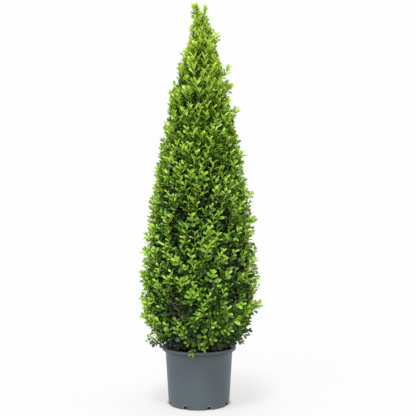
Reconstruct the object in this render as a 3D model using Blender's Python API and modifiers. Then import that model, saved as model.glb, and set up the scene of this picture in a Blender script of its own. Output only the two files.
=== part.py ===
"""A box cone topiary in a round nursery pot, modelled as separate solids.

Metres, +Z up. The origin is the centre of the pot's flat underside, and -Y is the front.
The pot holds a plug of potting soil. A trunk stands on the soil and runs up the middle of
the clipped crown, and low boughs spread from its foot into the lowest tier. The crown is
five tiers round the trunk. Each is one fused mass: a dense core that carries forked twigs
with pairs of leaves, kept to its own space between two cones that rise outwards.
"""

import math
import random
from dataclasses import dataclass

import bmesh
import bpy
from mathutils import Matrix, Vector, noise
from mathutils.bvhtree import BVHTree

# The pot, a standard container of ten litres
POT_HEIGHT = 0.215
RIM_RADIUS = 0.140
LIP_HEIGHT = 0.0125
LIP_EDGE = 0.0025
SHOULDER_RADIUS = 0.1266
FOOT_RADIUS = 0.1146
FOOT_EDGE = 0.003
BAND_HEIGHT = 0.011
BAND_STEP = 0.0008
WALL = 0.0026
FLOOR_TOP = 0.0065
RECESS_INNER, RECESS_OUTER, RECESS_DEPTH = 0.034, 0.090, 0.0035
DRAIN_COUNT = 8
DRAIN_WIDTH, DRAIN_HEIGHT, DRAIN_DEPTH = 0.0150, 0.0105, 0.014
DRAIN_TURN = math.radians(19.7)
POT_STEPS = 36

# The soil in it
SOIL_LEVEL = 0.196
SOIL_EDGE_DROP = 0.004
SOIL_FLAT_RADIUS = 0.060

# Room left between solids that touch in the real plant
GAP = 0.0003
LIMB_GAP = 0.0004

# The trunk, from the soil to its hidden tip, where the leader takes over
TRUNK_TIP = 1.392
TRUNK_RADIUS = 0.0125
TRUNK_TIP_RADIUS = 0.0032
TRUNK_FLARE, FLARE_HEIGHT = 0.0065, 0.030
TRUNK_LEAN = 0.006
TRUNK_SWAY, SWAY_TURNS = 0.0035, 1.6
TRUNK_POINTS = 18

# The low boughs
BOUGH_COUNT = 6
BOUGH_FOOT, BOUGH_FOOT_STEP = 0.216, 0.007
BOUGH_REACH, BOUGH_TIP = 0.108, 0.278
BOUGH_RADIUS, BOUGH_TIP_RADIUS = 0.0062, 0.0030
BOUGH_POINTS = 6
GOLDEN_ANGLE = math.pi * (3 - math.sqrt(5))

# The crown's clipped outline: height and radius, from the skirt up to the tip
CROWN_OUTLINE = (
    (0.218, 0.130),
    (0.262, 0.180),
    (0.320, 0.207),
    (0.420, 0.217),
    (0.620, 0.202),
    (0.860, 0.167),
    (1.090, 0.127),
    (1.270, 0.088),
    (1.400, 0.050),
    (1.520, 0.014),
)
CROWN_TOP = CROWN_OUTLINE[-1][0]

# The dense core inside the leaves
CORE_DEPTH = 0.036
CORE_SHARE = 0.42
CORE_LEAST = 0.009
CORE_FOOT, CORE_TOP = 0.250, 1.408
CORE_STEPS = 28
CORE_ROW = 0.037
LUMP, LUMP_SIZE = 0.022, 0.031

# Shoots rise outwards from the core, more steeply the higher they grow
RISE_LOW, RISE_HIGH = math.radians(-8), math.radians(66)
RISE_BEND = 0.6
SWERVE = 0.22
ROLL = 0.5
FORK_ANGLE = math.radians(48)
FORK_SPOT = 0.50
ROOT_DEPTH = 0.012
SHOOT_RADIUS, SHOOT_TIP_RADIUS = 0.0030, 0.0018
SHOOT_LENGTH, FORK_LENGTH = 0.018, 0.018
LEAST_SHARE = 0.62
FULL_RADIUS = 0.110

# Leaves in crossed pairs. Each leaf stands for several of the real ones
LEAF_LENGTH, LEAF_WIDTH, LEAF_THICKNESS = 0.044, 0.032, 0.0034
LEAF_WAIST = 0.60
LEAF_TURN = math.radians(58)
PAIR_SPOT, PAIR_STEP = 0.68, 0.24
LEAF_SUNK = 0.0016
LEAF_TRIES = 4
PROUD = 0.018
RIM_CLEARANCE = 0.002

# The leader, which carries the crown's tip above the trunk
LEADER_TOP = 1.492
LEADER_RADIUS = 0.0030
LEADER_SHOOTS = 7
LEADER_LEAN = (-0.014, 0.0)

# The wavy border between one tier and the next, and the room left at it
BORDER_WAVE, BORDER_WAVES = 0.09, 5
TIER_GAP, LEAF_ROOM = 0.0004, 0.003


@dataclass(frozen=True)
class Cone:
    """The border between two tiers, which rises outwards as the shoots there do."""

    middle: float
    slope: float
    turn: float = 0.0

    def height(self, radius, angle):
        """Its height at this distance from the axis and this angle round it."""
        wave = BORDER_WAVE * math.sin(BORDER_WAVES * angle + self.turn)
        return self.middle + (self.slope + wave) * radius


FLOOR, CEILING = Cone(-1.0, 0.0), Cone(3.0, 0.0)
SKIRT_TOP = Cone(0.350, 0.20, 0.4)
BELLY_TOP = Cone(0.545, 0.45, 1.9)
WAIST_TOP = Cone(0.760, 0.75, 3.1)
SHOULDER_TOP = Cone(1.030, 1.15, 4.7)


@dataclass(frozen=True)
class Tier:
    """One mass of foliage between two cones, with its number of twigs."""

    name: str
    foot: Cone
    top: Cone
    twigs: int
    seed: int

    def low(self, radius, angle):
        """Height of the lower cone, with the gap, at this distance from the axis."""
        return self.foot.height(radius, angle) + TIER_GAP

    def high(self, radius, angle):
        """Height of the upper cone, with the gap, at this distance from the axis."""
        return self.top.height(radius, angle) - TIER_GAP


TIERS = (
    Tier("crown_skirt", FLOOR, SKIRT_TOP, 22, 11),
    Tier("crown_belly", SKIRT_TOP, BELLY_TOP, 24, 23),
    Tier("crown_waist", BELLY_TOP, WAIST_TOP, 22, 37),
    Tier("crown_shoulder", WAIST_TOP, SHOULDER_TOP, 19, 41),
    Tier("crown_spire", SHOULDER_TOP, CEILING, 14, 59),
)


def clear_scene():
    """Removes what the startup scene holds."""
    for thing in list(bpy.data.objects):
        bpy.data.objects.remove(thing)


def new_collection(name):
    """A collection linked to the scene."""
    made = bpy.data.collections.new(name)
    bpy.context.scene.collection.children.link(made)
    return made


def finish(name, colour, roughness):
    """A plain Principled material, named for what it covers."""
    made = bpy.data.materials.new(name)
    made.use_nodes = True
    shader = made.node_tree.nodes["Principled BSDF"]
    shader.inputs["Base Color"].default_value = (*colour, 1.0)
    shader.inputs["Roughness"].default_value = roughness
    shader.inputs["Metallic"].default_value = 0.0
    return made


def along_curve(points, value):
    """Smooth height-to-radius curve through the points, flat beyond its ends."""
    if value <= points[0][0]:
        return points[0][1]
    if value >= points[-1][0]:
        return points[-1][1]
    at = next(i for i in range(len(points) - 1) if value <= points[i + 1][0])
    (x0, y0), (x1, y1) = points[at], points[at + 1]

    def slope(i):
        """Slope of the curve at point i, from its neighbours."""
        low, high = points[max(i - 1, 0)], points[min(i + 1, len(points) - 1)]
        return (high[1] - low[1]) / (high[0] - low[0])

    span = x1 - x0
    t = (value - x0) / span
    start = (1 + 2 * t) * (1 - t) ** 2 * y0 + t * (1 - t) ** 2 * span * slope(at)
    end = t * t * (3 - 2 * t) * y1 + t * t * (t - 1) * span * slope(at + 1)
    return start + end


def crown_radius(height):
    """Radius of the clipped outline at this height."""
    return along_curve(CROWN_OUTLINE, height)


def core_radius(height):
    """Radius of the dense core at this height."""
    outline = crown_radius(height)
    return max(outline - CORE_DEPTH, CORE_SHARE * outline, CORE_LEAST)


def turned(name, profile, steps, home):
    """A solid of revolution from (radius, height) points that run down its outer side."""
    mesh = bpy.data.meshes.new(name)
    mesh.from_pydata([(r, 0, z) for r, z in profile], [(i, i + 1) for i in range(len(profile) - 1)], [])
    made = bpy.data.objects.new(name, mesh)
    home.objects.link(made)
    spin = made.modifiers.new("spin", "SCREW")
    spin.axis = "Z"
    spin.angle = math.tau
    spin.steps = spin.render_steps = steps
    spin.use_merge_vertices = True
    spin.merge_threshold = 0.0001
    return made


def tube(name, points, radii, roundness, home):
    """A tapering limb along the points. It has 4 + 2 * roundness sides and filled ends."""
    data = bpy.data.curves.new(name, "CURVE")
    data.dimensions = "3D"
    data.bevel_depth = 1.0
    data.bevel_resolution = roundness
    data.use_fill_caps = True
    line = data.splines.new("POLY")
    line.points.add(len(points) - 1)
    for spot, place, radius in zip(line.points, points, radii):
        spot.co = (*place, 1.0)
        spot.radius = radius
    made = bpy.data.objects.new(name, data)
    home.objects.link(made)
    return made


def weld_caps(mesh):
    """Joins a tube's caps to its sides."""
    built = bmesh.new()
    built.from_mesh(mesh)
    bmesh.ops.remove_doubles(built, verts=built.verts, dist=1e-6)
    built.to_mesh(mesh)
    built.free()


def made_mesh(thing):
    """Replaces an object by its evaluated mesh, and returns the new object."""
    name = thing.name
    homes = list(thing.users_collection)
    bpy.context.view_layer.update()
    graph = bpy.context.evaluated_depsgraph_get()
    mesh = bpy.data.meshes.new_from_object(thing.evaluated_get(graph))
    if thing.type == "CURVE":
        weld_caps(mesh)
    place = thing.matrix_world.copy()
    bpy.data.objects.remove(thing)
    made = bpy.data.objects.new(name, mesh)
    made.matrix_world = place
    for home in homes:
        home.objects.link(made)
    return made


def combined(thing, operation, others, solver):
    """Joins or cuts an object by every object of a collection, and removes those."""
    modifier = thing.modifiers.new(operation.lower(), "BOOLEAN")
    modifier.operation = operation
    modifier.operand_type = "COLLECTION"
    modifier.collection = others
    modifier.solver = solver
    made = made_mesh(thing)
    for other in list(others.objects):
        bpy.data.objects.remove(other)
    bpy.data.collections.remove(others)
    return made


def keep_one_body(thing):
    """Drops loose scraps and fills sealed hollows: only the body of most volume stays."""
    built = bmesh.new()
    built.from_mesh(thing.data)
    unseen = set(built.faces)
    bodies = []
    while unseen:
        start = unseen.pop()
        body, edge = [start], [start]
        while edge:
            near = {f for e in edge.pop().edges for f in e.link_faces} & unseen
            unseen -= near
            body.extend(near)
            edge.extend(near)
        volume = 0.0
        for face in body:
            corners = [corner.co for corner in face.verts]
            for b, c in zip(corners[1:], corners[2:]):
                volume += corners[0].dot(b.cross(c)) / 6
        bodies.append((volume, body))
    largest = max(bodies, key=lambda pair: pair[0])[1]
    loose = [face for _, body in bodies if body is not largest for face in body]
    bmesh.ops.delete(built, geom=loose, context="FACES")
    built.to_mesh(thing.data)
    built.free()


def aligned(direction, place, roll=0.0):
    """A matrix that turns +Z to the direction, rolls about it, and moves to the place."""
    turn = Vector(direction).to_track_quat("Z", "Y").to_matrix().to_4x4()
    return Matrix.Translation(place) @ turn @ Matrix.Rotation(roll, 4, "Z")


def pot_profile():
    """The pot's section: up its inside from the floor, over the lip, and down its outside."""
    inner_foot = FOOT_RADIUS - WALL
    inner_shoulder = SHOULDER_RADIUS - WALL
    under_lip = POT_HEIGHT - LIP_HEIGHT
    band_foot = under_lip - BAND_HEIGHT
    taper = (SHOULDER_RADIUS - FOOT_RADIUS) / under_lip
    band_radius = FOOT_RADIUS + taper * band_foot
    return [
        (0.0, FLOOR_TOP),
        (inner_foot - FOOT_EDGE, FLOOR_TOP),
        (inner_foot, FLOOR_TOP + FOOT_EDGE),
        (inner_shoulder, under_lip),
        (RIM_RADIUS - 2 * WALL - LIP_EDGE, POT_HEIGHT - LIP_EDGE),
        (RIM_RADIUS - 2 * WALL, POT_HEIGHT),
        (RIM_RADIUS - LIP_EDGE, POT_HEIGHT),
        (RIM_RADIUS, POT_HEIGHT - LIP_EDGE),
        (RIM_RADIUS, under_lip + LIP_EDGE / 2),
        (RIM_RADIUS - LIP_EDGE, under_lip),
        (SHOULDER_RADIUS + BAND_STEP, under_lip + LIP_EDGE),
        (band_radius + BAND_STEP, band_foot),
        (band_radius, band_foot - BAND_STEP),
        (FOOT_RADIUS, FOOT_EDGE),
        (FOOT_RADIUS - FOOT_EDGE / 2, 0.0),
        (RECESS_OUTER, 0.0),
        (RECESS_OUTER - RECESS_DEPTH, RECESS_DEPTH),
        (RECESS_INNER + RECESS_DEPTH, RECESS_DEPTH),
        (RECESS_INNER, 0.0),
        (0.0, 0.0),
    ]


def make_pot(home, plastic):
    """The pot, with a drain notch through the corner of its wall and floor at even steps."""
    pot = turned("pot", pot_profile(), POT_STEPS, home)
    drains = new_collection("drain_cutters")
    for k in range(DRAIN_COUNT):
        angle = DRAIN_TURN + math.tau * k / DRAIN_COUNT
        built = bmesh.new()
        bmesh.ops.create_cube(built, size=1.0)
        mesh = bpy.data.meshes.new("drain")
        built.to_mesh(mesh)
        built.free()
        drain = bpy.data.objects.new("drain", mesh)
        drains.objects.link(drain)
        mesh.transform(Matrix.Diagonal((DRAIN_WIDTH, DRAIN_DEPTH, 2 * DRAIN_HEIGHT, 1.0)))
        drain.location = (FOOT_RADIUS * math.sin(angle), -FOOT_RADIUS * math.cos(angle), 0)
        drain.rotation_euler = (0, 0, angle)
    pot = combined(pot, "DIFFERENCE", drains, "EXACT")
    pot.data.materials.append(plastic)
    return pot


def make_soil(home, compost):
    """The plug of soil, a hair clear of the pot's wall and floor, level round the trunk."""
    inner_foot = FOOT_RADIUS - WALL - GAP / 2
    inner_shoulder = SHOULDER_RADIUS - WALL - GAP / 2
    under_lip = POT_HEIGHT - LIP_HEIGHT
    edge = SOIL_LEVEL - SOIL_EDGE_DROP
    corner = FLOOR_TOP + FOOT_EDGE
    taper = (inner_shoulder - inner_foot) / (under_lip - corner)
    profile = [
        (0.0, SOIL_LEVEL),
        (SOIL_FLAT_RADIUS, SOIL_LEVEL),
        (inner_foot + taper * (edge - corner) - GAP, edge),
        (inner_foot - GAP, corner + GAP),
        (inner_foot - FOOT_EDGE - GAP, FLOOR_TOP + GAP),
        (0.0, FLOOR_TOP + GAP),
    ]
    soil = turned("soil", profile, POT_STEPS, home)
    soil.data.materials.append(compost)
    return soil


def trunk_spot(height):
    """The trunk's middle at this height: a slight lean with a slow sway, upright at the soil."""
    rise = max(height - SOIL_LEVEL - FLARE_HEIGHT, 0.0)
    share = rise / (TRUNK_TIP - SOIL_LEVEL - FLARE_HEIGHT)
    sway = TRUNK_SWAY * math.sin(math.tau * SWAY_TURNS * share)
    return Vector((TRUNK_LEAN * share + sway * (1 - share), sway * share, height))


def trunk_radius(height):
    """The trunk's radius at this height, with the root flare at its foot."""
    share = (height - SOIL_LEVEL) / (TRUNK_TIP - SOIL_LEVEL)
    flare = TRUNK_FLARE * math.exp(-(height - SOIL_LEVEL) / FLARE_HEIGHT)
    return TRUNK_RADIUS + (TRUNK_TIP_RADIUS - TRUNK_RADIUS) * share**0.8 + flare


def trunk_heights():
    """Heights of the trunk's points, close together in the flare."""
    foot = SOIL_LEVEL + GAP
    flare = [foot, foot + FLARE_HEIGHT / 3, foot + FLARE_HEIGHT]
    step = (TRUNK_TIP - flare[-1]) / (TRUNK_POINTS - len(flare))
    return flare + [flare[-1] + step * k for k in range(1, TRUNK_POINTS - len(flare) + 1)]


def make_trunk(name, home, extra=0.0):
    """The trunk as one tube. Its clearance cutter is the same tube, thicker and longer by extra."""
    heights = trunk_heights()
    places = [trunk_spot(z) for z in heights]
    if extra:
        places[0] = places[0] - Vector((0, 0, extra))
        places[-1] = places[-1] + Vector((0, 0, extra))
    return tube(name, places, [trunk_radius(z) + extra for z in heights], 2, home)


def bough_path(k):
    """Points of low bough k, from inside the trunk out and up into the skirt."""
    angle = GOLDEN_ANGLE * k + 0.5
    foot = trunk_spot(BOUGH_FOOT + BOUGH_FOOT_STEP * k)
    out = Vector((math.sin(angle), -math.cos(angle), 0))
    tip = out * BOUGH_REACH + Vector((0, 0, BOUGH_TIP))
    bend = foot + out * (BOUGH_REACH * 0.62) + Vector((0, 0, (tip.z - foot.z) * 0.22))
    spots = []
    for i in range(BOUGH_POINTS):
        t = i / (BOUGH_POINTS - 1)
        spots.append(foot * (1 - t) ** 2 + bend * (2 * t * (1 - t)) + tip * t * t)
    return spots


def bough_radii(extra=0.0):
    """Radii along a bough, from the trunk to its tip."""
    steps = [i / (BOUGH_POINTS - 1) for i in range(BOUGH_POINTS)]
    return [BOUGH_RADIUS + (BOUGH_TIP_RADIUS - BOUGH_RADIUS) * t + extra for t in steps]


def make_boughs(home, bark):
    """The low boughs, each cut a hair clear of the trunk."""
    made = []
    for k in range(BOUGH_COUNT):
        bough = made_mesh(tube(f"bough_{k + 1}", bough_path(k), bough_radii(), 1, home))
        cutters = new_collection("trunk_room")
        make_room(cutters, trunk_only=True)
        bough = combined(bough, "DIFFERENCE", cutters, "EXACT")
        keep_one_body(bough)
        bough.data.materials.append(bark)
        made.append(bough)
    return made


def make_room(cutters, trunk_only):
    """Cutters that leave the limbs their clearance."""
    made_mesh(make_trunk("room_trunk", cutters, LIMB_GAP))
    if trunk_only:
        return
    for k in range(BOUGH_COUNT):
        path = bough_path(k)
        along = (path[-1] - path[-2]).normalized()
        path[-1] = path[-1] + along * LIMB_GAP
        made_mesh(tube(f"room_{k}", path, bough_radii(LIMB_GAP), 1, cutters))


def meeting_height(border):
    """Mean height at which the core's surface meets the border between two tiers."""
    low, high = CORE_FOOT, CORE_TOP
    for _ in range(40):
        middle = (low + high) / 2
        if middle < border.middle + border.slope * core_radius(middle):
            low = middle
        else:
            high = middle
    return low


def side_ends(tier):
    """Heights of the top and the foot of a tier's side."""
    top = CORE_TOP if tier.top is CEILING else meeting_height(tier.top)
    foot = CORE_FOOT if tier.foot is FLOOR else meeting_height(tier.foot)
    return top, foot


def core_profile(tier):
    """The core's section from the axis over its top, down its side and back to the axis."""
    top, foot = side_ends(tier)
    rows = max(2, round((top - foot) / CORE_ROW))
    heights = [top + (foot - top) * k / rows for k in range(rows + 1)]
    lid = top + CORE_LEAST if tier.top is CEILING else tier.top.middle - TIER_GAP
    base = foot + CORE_LEAST if tier.foot is FLOOR else tier.foot.middle + TIER_GAP
    return [(0.0, lid)] + [(core_radius(z), z) for z in heights] + [(0.0, base)]


def make_core(tier, home):
    """The core, pushed in and out by even noise so that it looks like leaves and not a lathe's work."""
    core = made_mesh(turned(tier.name, core_profile(tier), CORE_STEPS, home))
    top, foot = side_ends(tier)
    for corner in core.data.vertices:
        radius, angle = math.hypot(corner.co.x, corner.co.y), math.atan2(corner.co.y, corner.co.x)
        if radius < CORE_LEAST / 2:
            continue
        at_top = tier.top is not CEILING and abs(corner.co.z - top) < 1e-5
        at_foot = tier.foot is not FLOOR and abs(corner.co.z - foot) < 1e-5
        room = min(1.0, (radius - CORE_LEAST) / CORE_DEPTH)
        moved = radius + LUMP * room * noise.noise(corner.co / LUMP_SIZE)
        if at_top:
            corner.co.z = tier.high(moved, angle)
        elif at_foot:
            corner.co.z = tier.low(moved, angle)
        else:
            corner.co.z += LUMP * room * 0.5 * noise.noise(corner.co / LUMP_SIZE + Vector((7, 3, 5)))
        corner.co.x *= moved / radius
        corner.co.y *= moved / radius
    return core


def octahedron():
    """An eight-sided bead with its poles on Z, the start of every leaf."""
    built = bmesh.new()
    bmesh.ops.create_uvsphere(built, u_segments=4, v_segments=2, radius=1.0)
    return built


def leaf_solid(length, width):
    """A leaf that grows along +Z from its root at the origin, widest past its middle."""
    built = octahedron()
    for corner in built.verts:
        if corner.co.z > 0.5:
            corner.co = (0, 0, length)
        elif corner.co.z < -0.5:
            corner.co = (0, 0, 0)
        else:
            lift = LEAF_THICKNESS / 2
            corner.co = (corner.co.x * width / 2, corner.co.y * lift, length * LEAF_WAIST)
    return built


def twig_solid(length, foot_radius, tip_radius):
    """A three-sided twig that grows along +Z from the origin."""
    built = bmesh.new()
    bmesh.ops.create_cone(
        built, cap_ends=True, cap_tris=False, segments=3, radius1=foot_radius, radius2=tip_radius, depth=length
    )
    bmesh.ops.translate(built, verts=built.verts, vec=(0, 0, length / 2))
    return built


class Grower:
    """Grows one tier's twigs and leaves, and keeps those that stay in its space and touch nothing."""

    def __init__(self, tier, core, home):
        self.tier = tier
        self.home = home
        self.chance = random.Random(tier.seed)
        self.grown = []
        self.core = BVHTree.FromPolygons(
            [corner.co for corner in core.data.vertices], [face.vertices for face in core.data.polygons]
        )
        self.limbs = [(bough_path(k), bough_radii()) for k in range(BOUGH_COUNT)]

    def inside(self, corner):
        """True where a corner lies in the tier's space, over the pot and clear of the boughs."""
        radius, angle = math.hypot(corner.x, corner.y), math.atan2(corner.y, corner.x)
        above = corner.z - self.tier.low(radius, angle)
        below = self.tier.high(radius, angle) - corner.z
        if min(above, below) < LEAF_ROOM:
            return False
        if corner.z > CROWN_TOP or corner.z < POT_HEIGHT + RIM_CLEARANCE:
            return False
        if radius > crown_radius(corner.z) + PROUD:
            return False
        return all(
            (corner - spot).length > wide + LEAF_THICKNESS
            for path, radii in self.limbs
            for spot, wide in zip(path, radii)
        )

    def place(self, name, built, matrix, kin):
        """Links the solid where it fits and returns its index, or None. It may touch only its kin."""
        bmesh.ops.transform(built, verts=built.verts, matrix=matrix)
        if not all(self.inside(corner.co) for corner in built.verts):
            return None
        shape = BVHTree.FromBMesh(built)
        middle = sum((corner.co for corner in built.verts), Vector()) / len(built.verts)
        reach = max((corner.co - middle).length for corner in built.verts)
        if kin and shape.overlap(self.core):
            return None
        for index, (other, spot, size) in enumerate(self.grown):
            near = (spot - middle).length < size + reach
            if near and index not in kin and shape.overlap(other):
                return None
        mesh = bpy.data.meshes.new(name)
        built.to_mesh(mesh)
        self.home.objects.link(bpy.data.objects.new(name, mesh))
        self.grown.append((shape, middle, reach))
        return len(self.grown) - 1

    def add_leaf(self, spot, direction, size, kin):
        """One leaf whose root is sunk in the shoot at the spot, rolled until it touches no other."""
        root = spot - direction * LEAF_SUNK
        for _ in range(LEAF_TRIES):
            built = leaf_solid(LEAF_LENGTH * size, LEAF_WIDTH * size)
            roll = self.chance.uniform(0, math.pi)
            leaf = self.place("leaf", built, aligned(direction, root, roll), kin)
            built.free()
            if leaf is not None:
                kin.add(leaf)
                return
            size *= 0.94

    def add_shoot(self, root, direction, length, pairs, size, kin):
        """A shoot with crossed pairs of leaves on its outer part and one leaf at its tip."""
        built = twig_solid(length, SHOOT_RADIUS, SHOOT_TIP_RADIUS)
        shoot = self.place("shoot", built, aligned(direction, root), kin)
        built.free()
        if shoot is None:
            return None
        kin = {shoot}
        side = self.across(direction)
        for k in range(pairs):
            joint = root + direction * (length * (PAIR_SPOT + PAIR_STEP * k))
            for sign in (-1, 1):
                spread = direction * math.cos(LEAF_TURN) + side * (sign * math.sin(LEAF_TURN))
                self.add_leaf(joint, spread, size * self.chance.uniform(0.85, 1.0), kin)
            side = direction.cross(side)
        self.add_leaf(root + direction * length, direction, size * self.chance.uniform(0.9, 1.1), kin)
        return shoot

    def across(self, direction):
        """A direction square to this one, near the horizontal."""
        side = Vector((0, 0, 1)).cross(direction).normalized()
        return Matrix.Rotation(self.chance.uniform(-ROLL, ROLL), 3, direction) @ side

    def add_fork(self, root, direction, length, size, parent):
        """A side shoot that leaves its parent's middle."""
        side = self.across(direction) * self.chance.choice((-1, 1))
        way = direction * math.cos(FORK_ANGLE) + side * math.sin(FORK_ANGLE)
        self.add_shoot(root + direction * (length * FORK_SPOT), way, FORK_LENGTH * size, 1, size, {parent})

    def grow(self, height, angle):
        """A forked shoot out of the core at this height and angle."""
        rise = shoot_rise(height) + self.chance.uniform(-SWERVE, SWERVE)
        turn = angle + self.chance.uniform(-SWERVE, SWERVE)
        heading = Vector((math.sin(turn) * math.cos(rise), -math.cos(turn) * math.cos(rise), math.sin(rise)))
        inner, size = core_radius(height), leaf_share(height)
        deep = min(ROOT_DEPTH, inner - CORE_LEAST / 2)
        root = Vector((inner * math.sin(angle), -inner * math.cos(angle), height)) - heading * deep
        length = deep + SHOOT_LENGTH * size * self.chance.uniform(0.7, 1.2)
        shoot = self.add_shoot(root, heading, length, self.chance.choice((1, 2)), size, set())
        if shoot is not None:
            self.add_fork(root, heading, length, size, shoot)

    def grow_leader(self):
        """The leader, with short shoots round it up to the crown's tip."""
        foot = trunk_spot(TRUNK_TIP) + Vector((0, 0, CORE_LEAST / 2))
        tip = Vector((foot.x + LEADER_LEAN[0], foot.y + LEADER_LEAN[1], LEADER_TOP))
        rising = (tip - foot).normalized()
        length = (tip - foot).length
        built = twig_solid(length, LEADER_RADIUS, SHOOT_TIP_RADIUS)
        leader = self.place("leader", built, aligned(rising, foot), set())
        built.free()
        for k in range(LEADER_SHOOTS):
            spot = foot.lerp(tip, 0.22 + 0.76 * k / (LEADER_SHOOTS - 1))
            turn = GOLDEN_ANGLE * k
            out = Vector((math.sin(turn), -math.cos(turn), 0))
            way = (out * math.cos(RISE_HIGH) + Vector((0, 0, math.sin(RISE_HIGH)))).normalized()
            self.add_shoot(spot, way, FORK_LENGTH * LEAST_SHARE, 1, LEAST_SHARE, {leader})
        self.add_leaf(tip, rising, LEAST_SHARE, {leader})


def shoot_rise(height):
    """How steeply the shoots rise at this height of the crown."""
    share = max(height - CORE_FOOT, 0.0) / (CROWN_TOP - CORE_FOOT)
    return RISE_LOW + (RISE_HIGH - RISE_LOW) * share**RISE_BEND


def leaf_share(height):
    """Size of leaves and shoots at this height, smaller where the crown is narrow."""
    return min(1.0, LEAST_SHARE + (1 - LEAST_SHARE) * crown_radius(height) / FULL_RADIUS)


def side_spots(tier):
    """Heights and angles spread evenly over the tier's side, by the golden angle."""
    top, foot = side_ends(tier)
    slices = 60
    heights = [foot + (top - foot) * (k + 0.5) / slices for k in range(slices)]
    shares = [crown_radius(z) for z in heights]
    total = sum(shares)
    spots = []
    for k in range(tier.twigs):
        target = total * (k + 0.5) / tier.twigs
        i = 0
        while target > shares[i] and i < slices - 1:
            target -= shares[i]
            i += 1
        spots.append((heights[i], GOLDEN_ANGLE * k + tier.seed))
    return spots


def make_tier(tier, home, leaf_green):
    """One fused mass of foliage. Its core is cut clear of the limbs before the growth joins it."""
    core = make_core(tier, home)
    growth = new_collection(f"{tier.name}_growth")
    grower = Grower(tier, core, growth)
    for height, angle in side_spots(tier):
        grower.grow(height, angle)
    if tier.top is CEILING:
        grower.grow_leader()
    room = new_collection(f"{tier.name}_room")
    make_room(room, trunk_only=tier.foot is not FLOOR)
    core = combined(core, "DIFFERENCE", room, "EXACT")
    mass = combined(core, "UNION", growth, "MANIFOLD")
    keep_one_body(mass)
    mass.data.materials.append(leaf_green)
    return mass


def main():
    """Builds the pot, the soil, the limbs and the crown."""
    clear_scene()
    home = new_collection("box_cone_topiary")
    plastic = finish("grey_plastic", (0.105, 0.125, 0.138), 0.45)
    compost = finish("potting_soil", (0.030, 0.022, 0.016), 0.95)
    bark = finish("box_bark", (0.190, 0.135, 0.080), 0.85)
    leaf_green = finish("leaf_green", (0.150, 0.300, 0.045), 0.50)
    make_pot(home, plastic)
    make_soil(home, compost)
    make_trunk("trunk", home).data.materials.append(bark)
    make_boughs(home, bark)
    for tier in TIERS:
        make_tier(tier, home, leaf_green)


main()
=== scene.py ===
"""Dresses the potted box cone: its pot, soil, bark, twigs and leaves, in a plain pale studio.

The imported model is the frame. Metres, +Z up, the origin under the pot's middle and -Y the front.
The crown grows by the rule of the solids: boughs leave the trunk for even spots on the core,
twigs fork from them, and shoots with crossed pairs of leaves stand on the twigs up to the
clipped outline. Angles round the plant start at the front and turn towards +X.
"""

import logging
import math
import random
from collections import defaultdict
from dataclasses import dataclass, field
from enum import Enum

import bmesh
import bpy
from mathutils import Euler, Matrix, Vector, noise
from mathutils.kdtree import KDTree


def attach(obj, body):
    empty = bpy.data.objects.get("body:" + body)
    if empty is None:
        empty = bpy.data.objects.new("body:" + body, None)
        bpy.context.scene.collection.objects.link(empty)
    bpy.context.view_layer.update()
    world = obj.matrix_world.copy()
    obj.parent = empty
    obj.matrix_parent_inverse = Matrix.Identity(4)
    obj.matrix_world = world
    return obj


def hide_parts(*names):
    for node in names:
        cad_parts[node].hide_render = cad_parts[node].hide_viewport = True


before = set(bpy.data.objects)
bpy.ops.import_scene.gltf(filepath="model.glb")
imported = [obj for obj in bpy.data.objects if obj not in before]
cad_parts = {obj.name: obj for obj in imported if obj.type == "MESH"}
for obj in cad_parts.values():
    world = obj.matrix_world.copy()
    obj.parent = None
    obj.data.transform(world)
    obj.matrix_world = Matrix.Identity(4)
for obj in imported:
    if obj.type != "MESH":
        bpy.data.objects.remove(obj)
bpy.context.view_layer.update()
BODY = "root"
LOG = logging.getLogger("box_cone")

# Sizes shared with the solids
POT_HEIGHT = 0.215
RIM_RADIUS = 0.140
SOIL_LEVEL = 0.196
TRUNK_TIP = 1.392
GOLDEN_ANGLE = math.pi * (3 - math.sqrt(5))
CROWN_FOOT, CROWN_TOP = 0.250, 1.520
CROWN_OUTLINE = (
    (0.218, 0.130), (0.262, 0.180), (0.320, 0.207), (0.420, 0.217), (0.620, 0.202),
    (0.860, 0.167), (1.090, 0.127), (1.270, 0.088), (1.400, 0.050), (1.520, 0.014),
)
BORDER_WAVE, BORDER_WAVES = 0.09, 5
# How far the crown's middle stands to the right of the pot's, by height
CROWN_DRIFT = (
    (0.30, 0.003), (0.90, 0.005), (1.20, 0.005), (1.30, 0.006), (1.37, 0.012), (1.44, 0.006),
    (1.52, 0.001),
)
# How far the shoots' tips stay inside the outline, since their leaves reach past them
CROWN_TRIM = (
    (0.23, 0.018), (0.29, 0.004), (0.60, 0.003), (1.00, 0.005), (1.10, 0.009), (1.20, 0.009),
    (1.32, 0.015), (1.40, 0.019), (1.46, 0.020),
)
# Share of shoots in new growth, by height
FRESH_SHARE = (
    (0.22, 0.05), (0.30, 0.15), (0.40, 0.24), (0.60, 0.30), (0.80, 0.36), (1.00, 0.48),
    (1.15, 0.48), (1.40, 0.56),
)
# How close the shoots stand, how large their leaves are and how wide they spread, by height
SHOOT_DENSITY = ((0.80, 1.00), (1.10, 0.88), (1.30, 0.62), (1.44, 0.50))
LEAF_SIZE = (
    (0.24, 1.14), (0.40, 1.04), (0.80, 1.00), (1.05, 1.08), (1.22, 1.20), (1.34, 1.28), (1.44, 1.20),
)
LEAF_SPREAD = ((0.80, 58), (1.10, 46), (1.22, 34), (1.32, 27), (1.44, 22))


def linear(colour: tuple) -> tuple[float, float, float, float]:
    """A colour for a shader.

    Args:
        colour: Its red, green and blue display values, 0 to 255.

    Returns:
        The same colour as light, 0 to 1, opaque.
    """
    shares = [channel / 255 for channel in colour]
    lit = [((s + 0.055) / 1.055) ** 2.4 if s > 0.04045 else s / 12.92 for s in shares]
    return (*lit, 1.0)


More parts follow.
